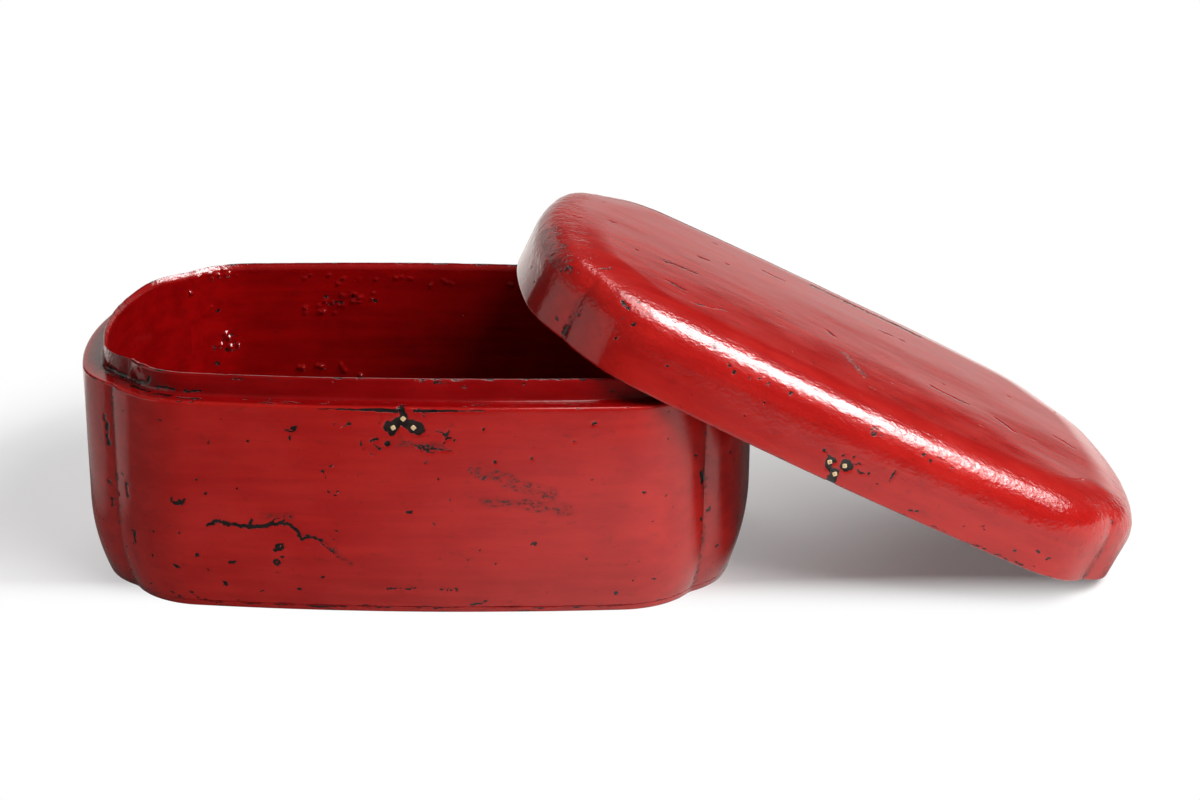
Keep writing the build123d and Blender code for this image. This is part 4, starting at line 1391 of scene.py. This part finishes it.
def backdrop_glow(tree, axes, camera_rays):
    """The backdrop is lit up to a slanting edge, lower on the right, and has a dark gap on the left."""
    slope = calculate(tree, "MULTIPLY", axes["X"], BACKDROP_SLOPE)
    cap = between(tree, axes["X"], *BACKDROP_LEFT_RISE, BACKDROP_CAP, WALL_TOP)
    edge = calculate(tree, "MINIMUM", calculate(tree, "ADD", slope, BACKDROP_EDGE), cap)
    above = calculate(tree, "SUBTRACT", axes["Z"], edge)
    level = between(tree, above, -BACKDROP_SOFT, BACKDROP_SOFT, BACKDROP_LEVEL, BACKDROP_DARK)
    gap = calculate(tree, "MULTIPLY", calculate(tree, "LESS_THAN", axes["X"], 0.0),
                    *[between(tree, axes["Y"], *limits) for limits in BACKDROP_GAP])
    level = calculate(tree, "MULTIPLY", level, between(tree, gap, 0.0, 1.0, 1.0, BACKDROP_GAP_LEVEL))
    return 1.0, calculate(tree, "MAXIMUM", level, camera_rays)


def stage_mesh(name, points, faces, material):
    """One surface of the stage."""
    mesh = bpy.data.meshes.new(name)
    mesh.from_pydata(points, [], faces)
    mesh.polygons.foreach_set("use_smooth", np.ones(len(mesh.polygons), dtype=bool))
    mesh.materials.append(material)
    made = bpy.data.objects.new(name, mesh)
    bpy.context.scene.collection.objects.link(made)
    return made


def build_stage():
    """A white floor, and a low white wall that curves round the back and the sides."""
    corners = [(-1, -1), (1, -1), (1, 1), (-1, 1)]
    points = [(x * FLOOR_REACH, y * FLOOR_REACH, 0) for x, y in corners]
    stage_mesh("floor", points, [(0, 1, 2, 3)], stage_material("floor_paper", floor_glow))
    points = []
    for bearing in np.radians(np.linspace(WALL_FROM, WALL_TO, WALL_SEGMENTS + 1)):
        x, y = WALL_REACH * math.sin(bearing), WALL_REACH * math.cos(bearing)
        points += [(x, y, -WALL_SUNK), (x, y, WALL_TOP)]
    faces = [(low, low + 2, low + 3, low + 1) for low in range(0, 2 * WALL_SEGMENTS, 2)]
    stage_mesh("backdrop", points, faces, stage_material("backdrop_paper", backdrop_glow))


def place_in_scene(name, data, place, axes):
    """A lamp or camera at a place, with its right, up and back directions."""
    made = bpy.data.objects.new(name, data)
    made.matrix_world = Matrix.Translation(place) @ Matrix(np.stack(axes, axis=1).tolist()).to_4x4()
    bpy.context.scene.collection.objects.link(made)
    return made


def area_light(name, lamp):
    """A flat lamp that faces the object and isn't itself in view; it either makes shine or lights softly."""
    data = bpy.data.lights.new(name, "AREA")
    data.shape = "RECTANGLE"
    data.size, data.size_y, data.energy = lamp.width, lamp.depth, lamp.power
    back = np.array(lamp.direction) / np.linalg.norm(lamp.direction)
    right = np.cross([0.0, 1.0, 0.0], back)
    right /= np.linalg.norm(right)
    place = LIGHT_AIM + lamp.distance * np.array(lamp.direction)
    made = place_in_scene(name, data, place, [right, np.cross(back, right), back])
    made.visible_camera = False
    made.visible_glossy = lamp.shine
    made.visible_diffuse = not lamp.shine


def build_lights():
    """The lamps, and weak light all round."""
    for name, lamp in LAMPS.items():
        area_light(name, lamp)
    world = bpy.data.worlds.new("studio")
    bpy.context.scene.world = world
    world.use_nodes = True
    background = world.node_tree.nodes["Background"]
    background.inputs["Color"].default_value = WHITE
    background.inputs["Strength"].default_value = WORLD_LEVEL


def build_camera():
    """The camera, without depth of field."""
    data = bpy.data.cameras.new("camera")
    data.lens = LENS
    data.sensor_width = SENSOR
    data.sensor_fit = "HORIZONTAL"
    elevation, azimuth = math.radians(CAMERA_ELEVATION), math.radians(CAMERA_AZIMUTH)
    cos, sin = math.cos(math.radians(CAMERA_ROLL)), math.sin(math.radians(CAMERA_ROLL))
    back = np.array([
        math.sin(azimuth) * math.cos(elevation),
        -math.cos(azimuth) * math.cos(elevation),
        math.sin(elevation),
    ])
    right = np.array([math.cos(azimuth), math.sin(azimuth), 0])
    up = np.cross(back, right)
    place = np.array(CAMERA_TARGET) + back * CAMERA_DISTANCE
    axes = [cos * right + sin * up, cos * up - sin * right, back]
    bpy.context.scene.camera = place_in_scene("camera", data, place, axes)


build_object()
build_stage()
build_lights()
build_camera()
bpy.context.scene.view_settings.view_transform = "Standard"
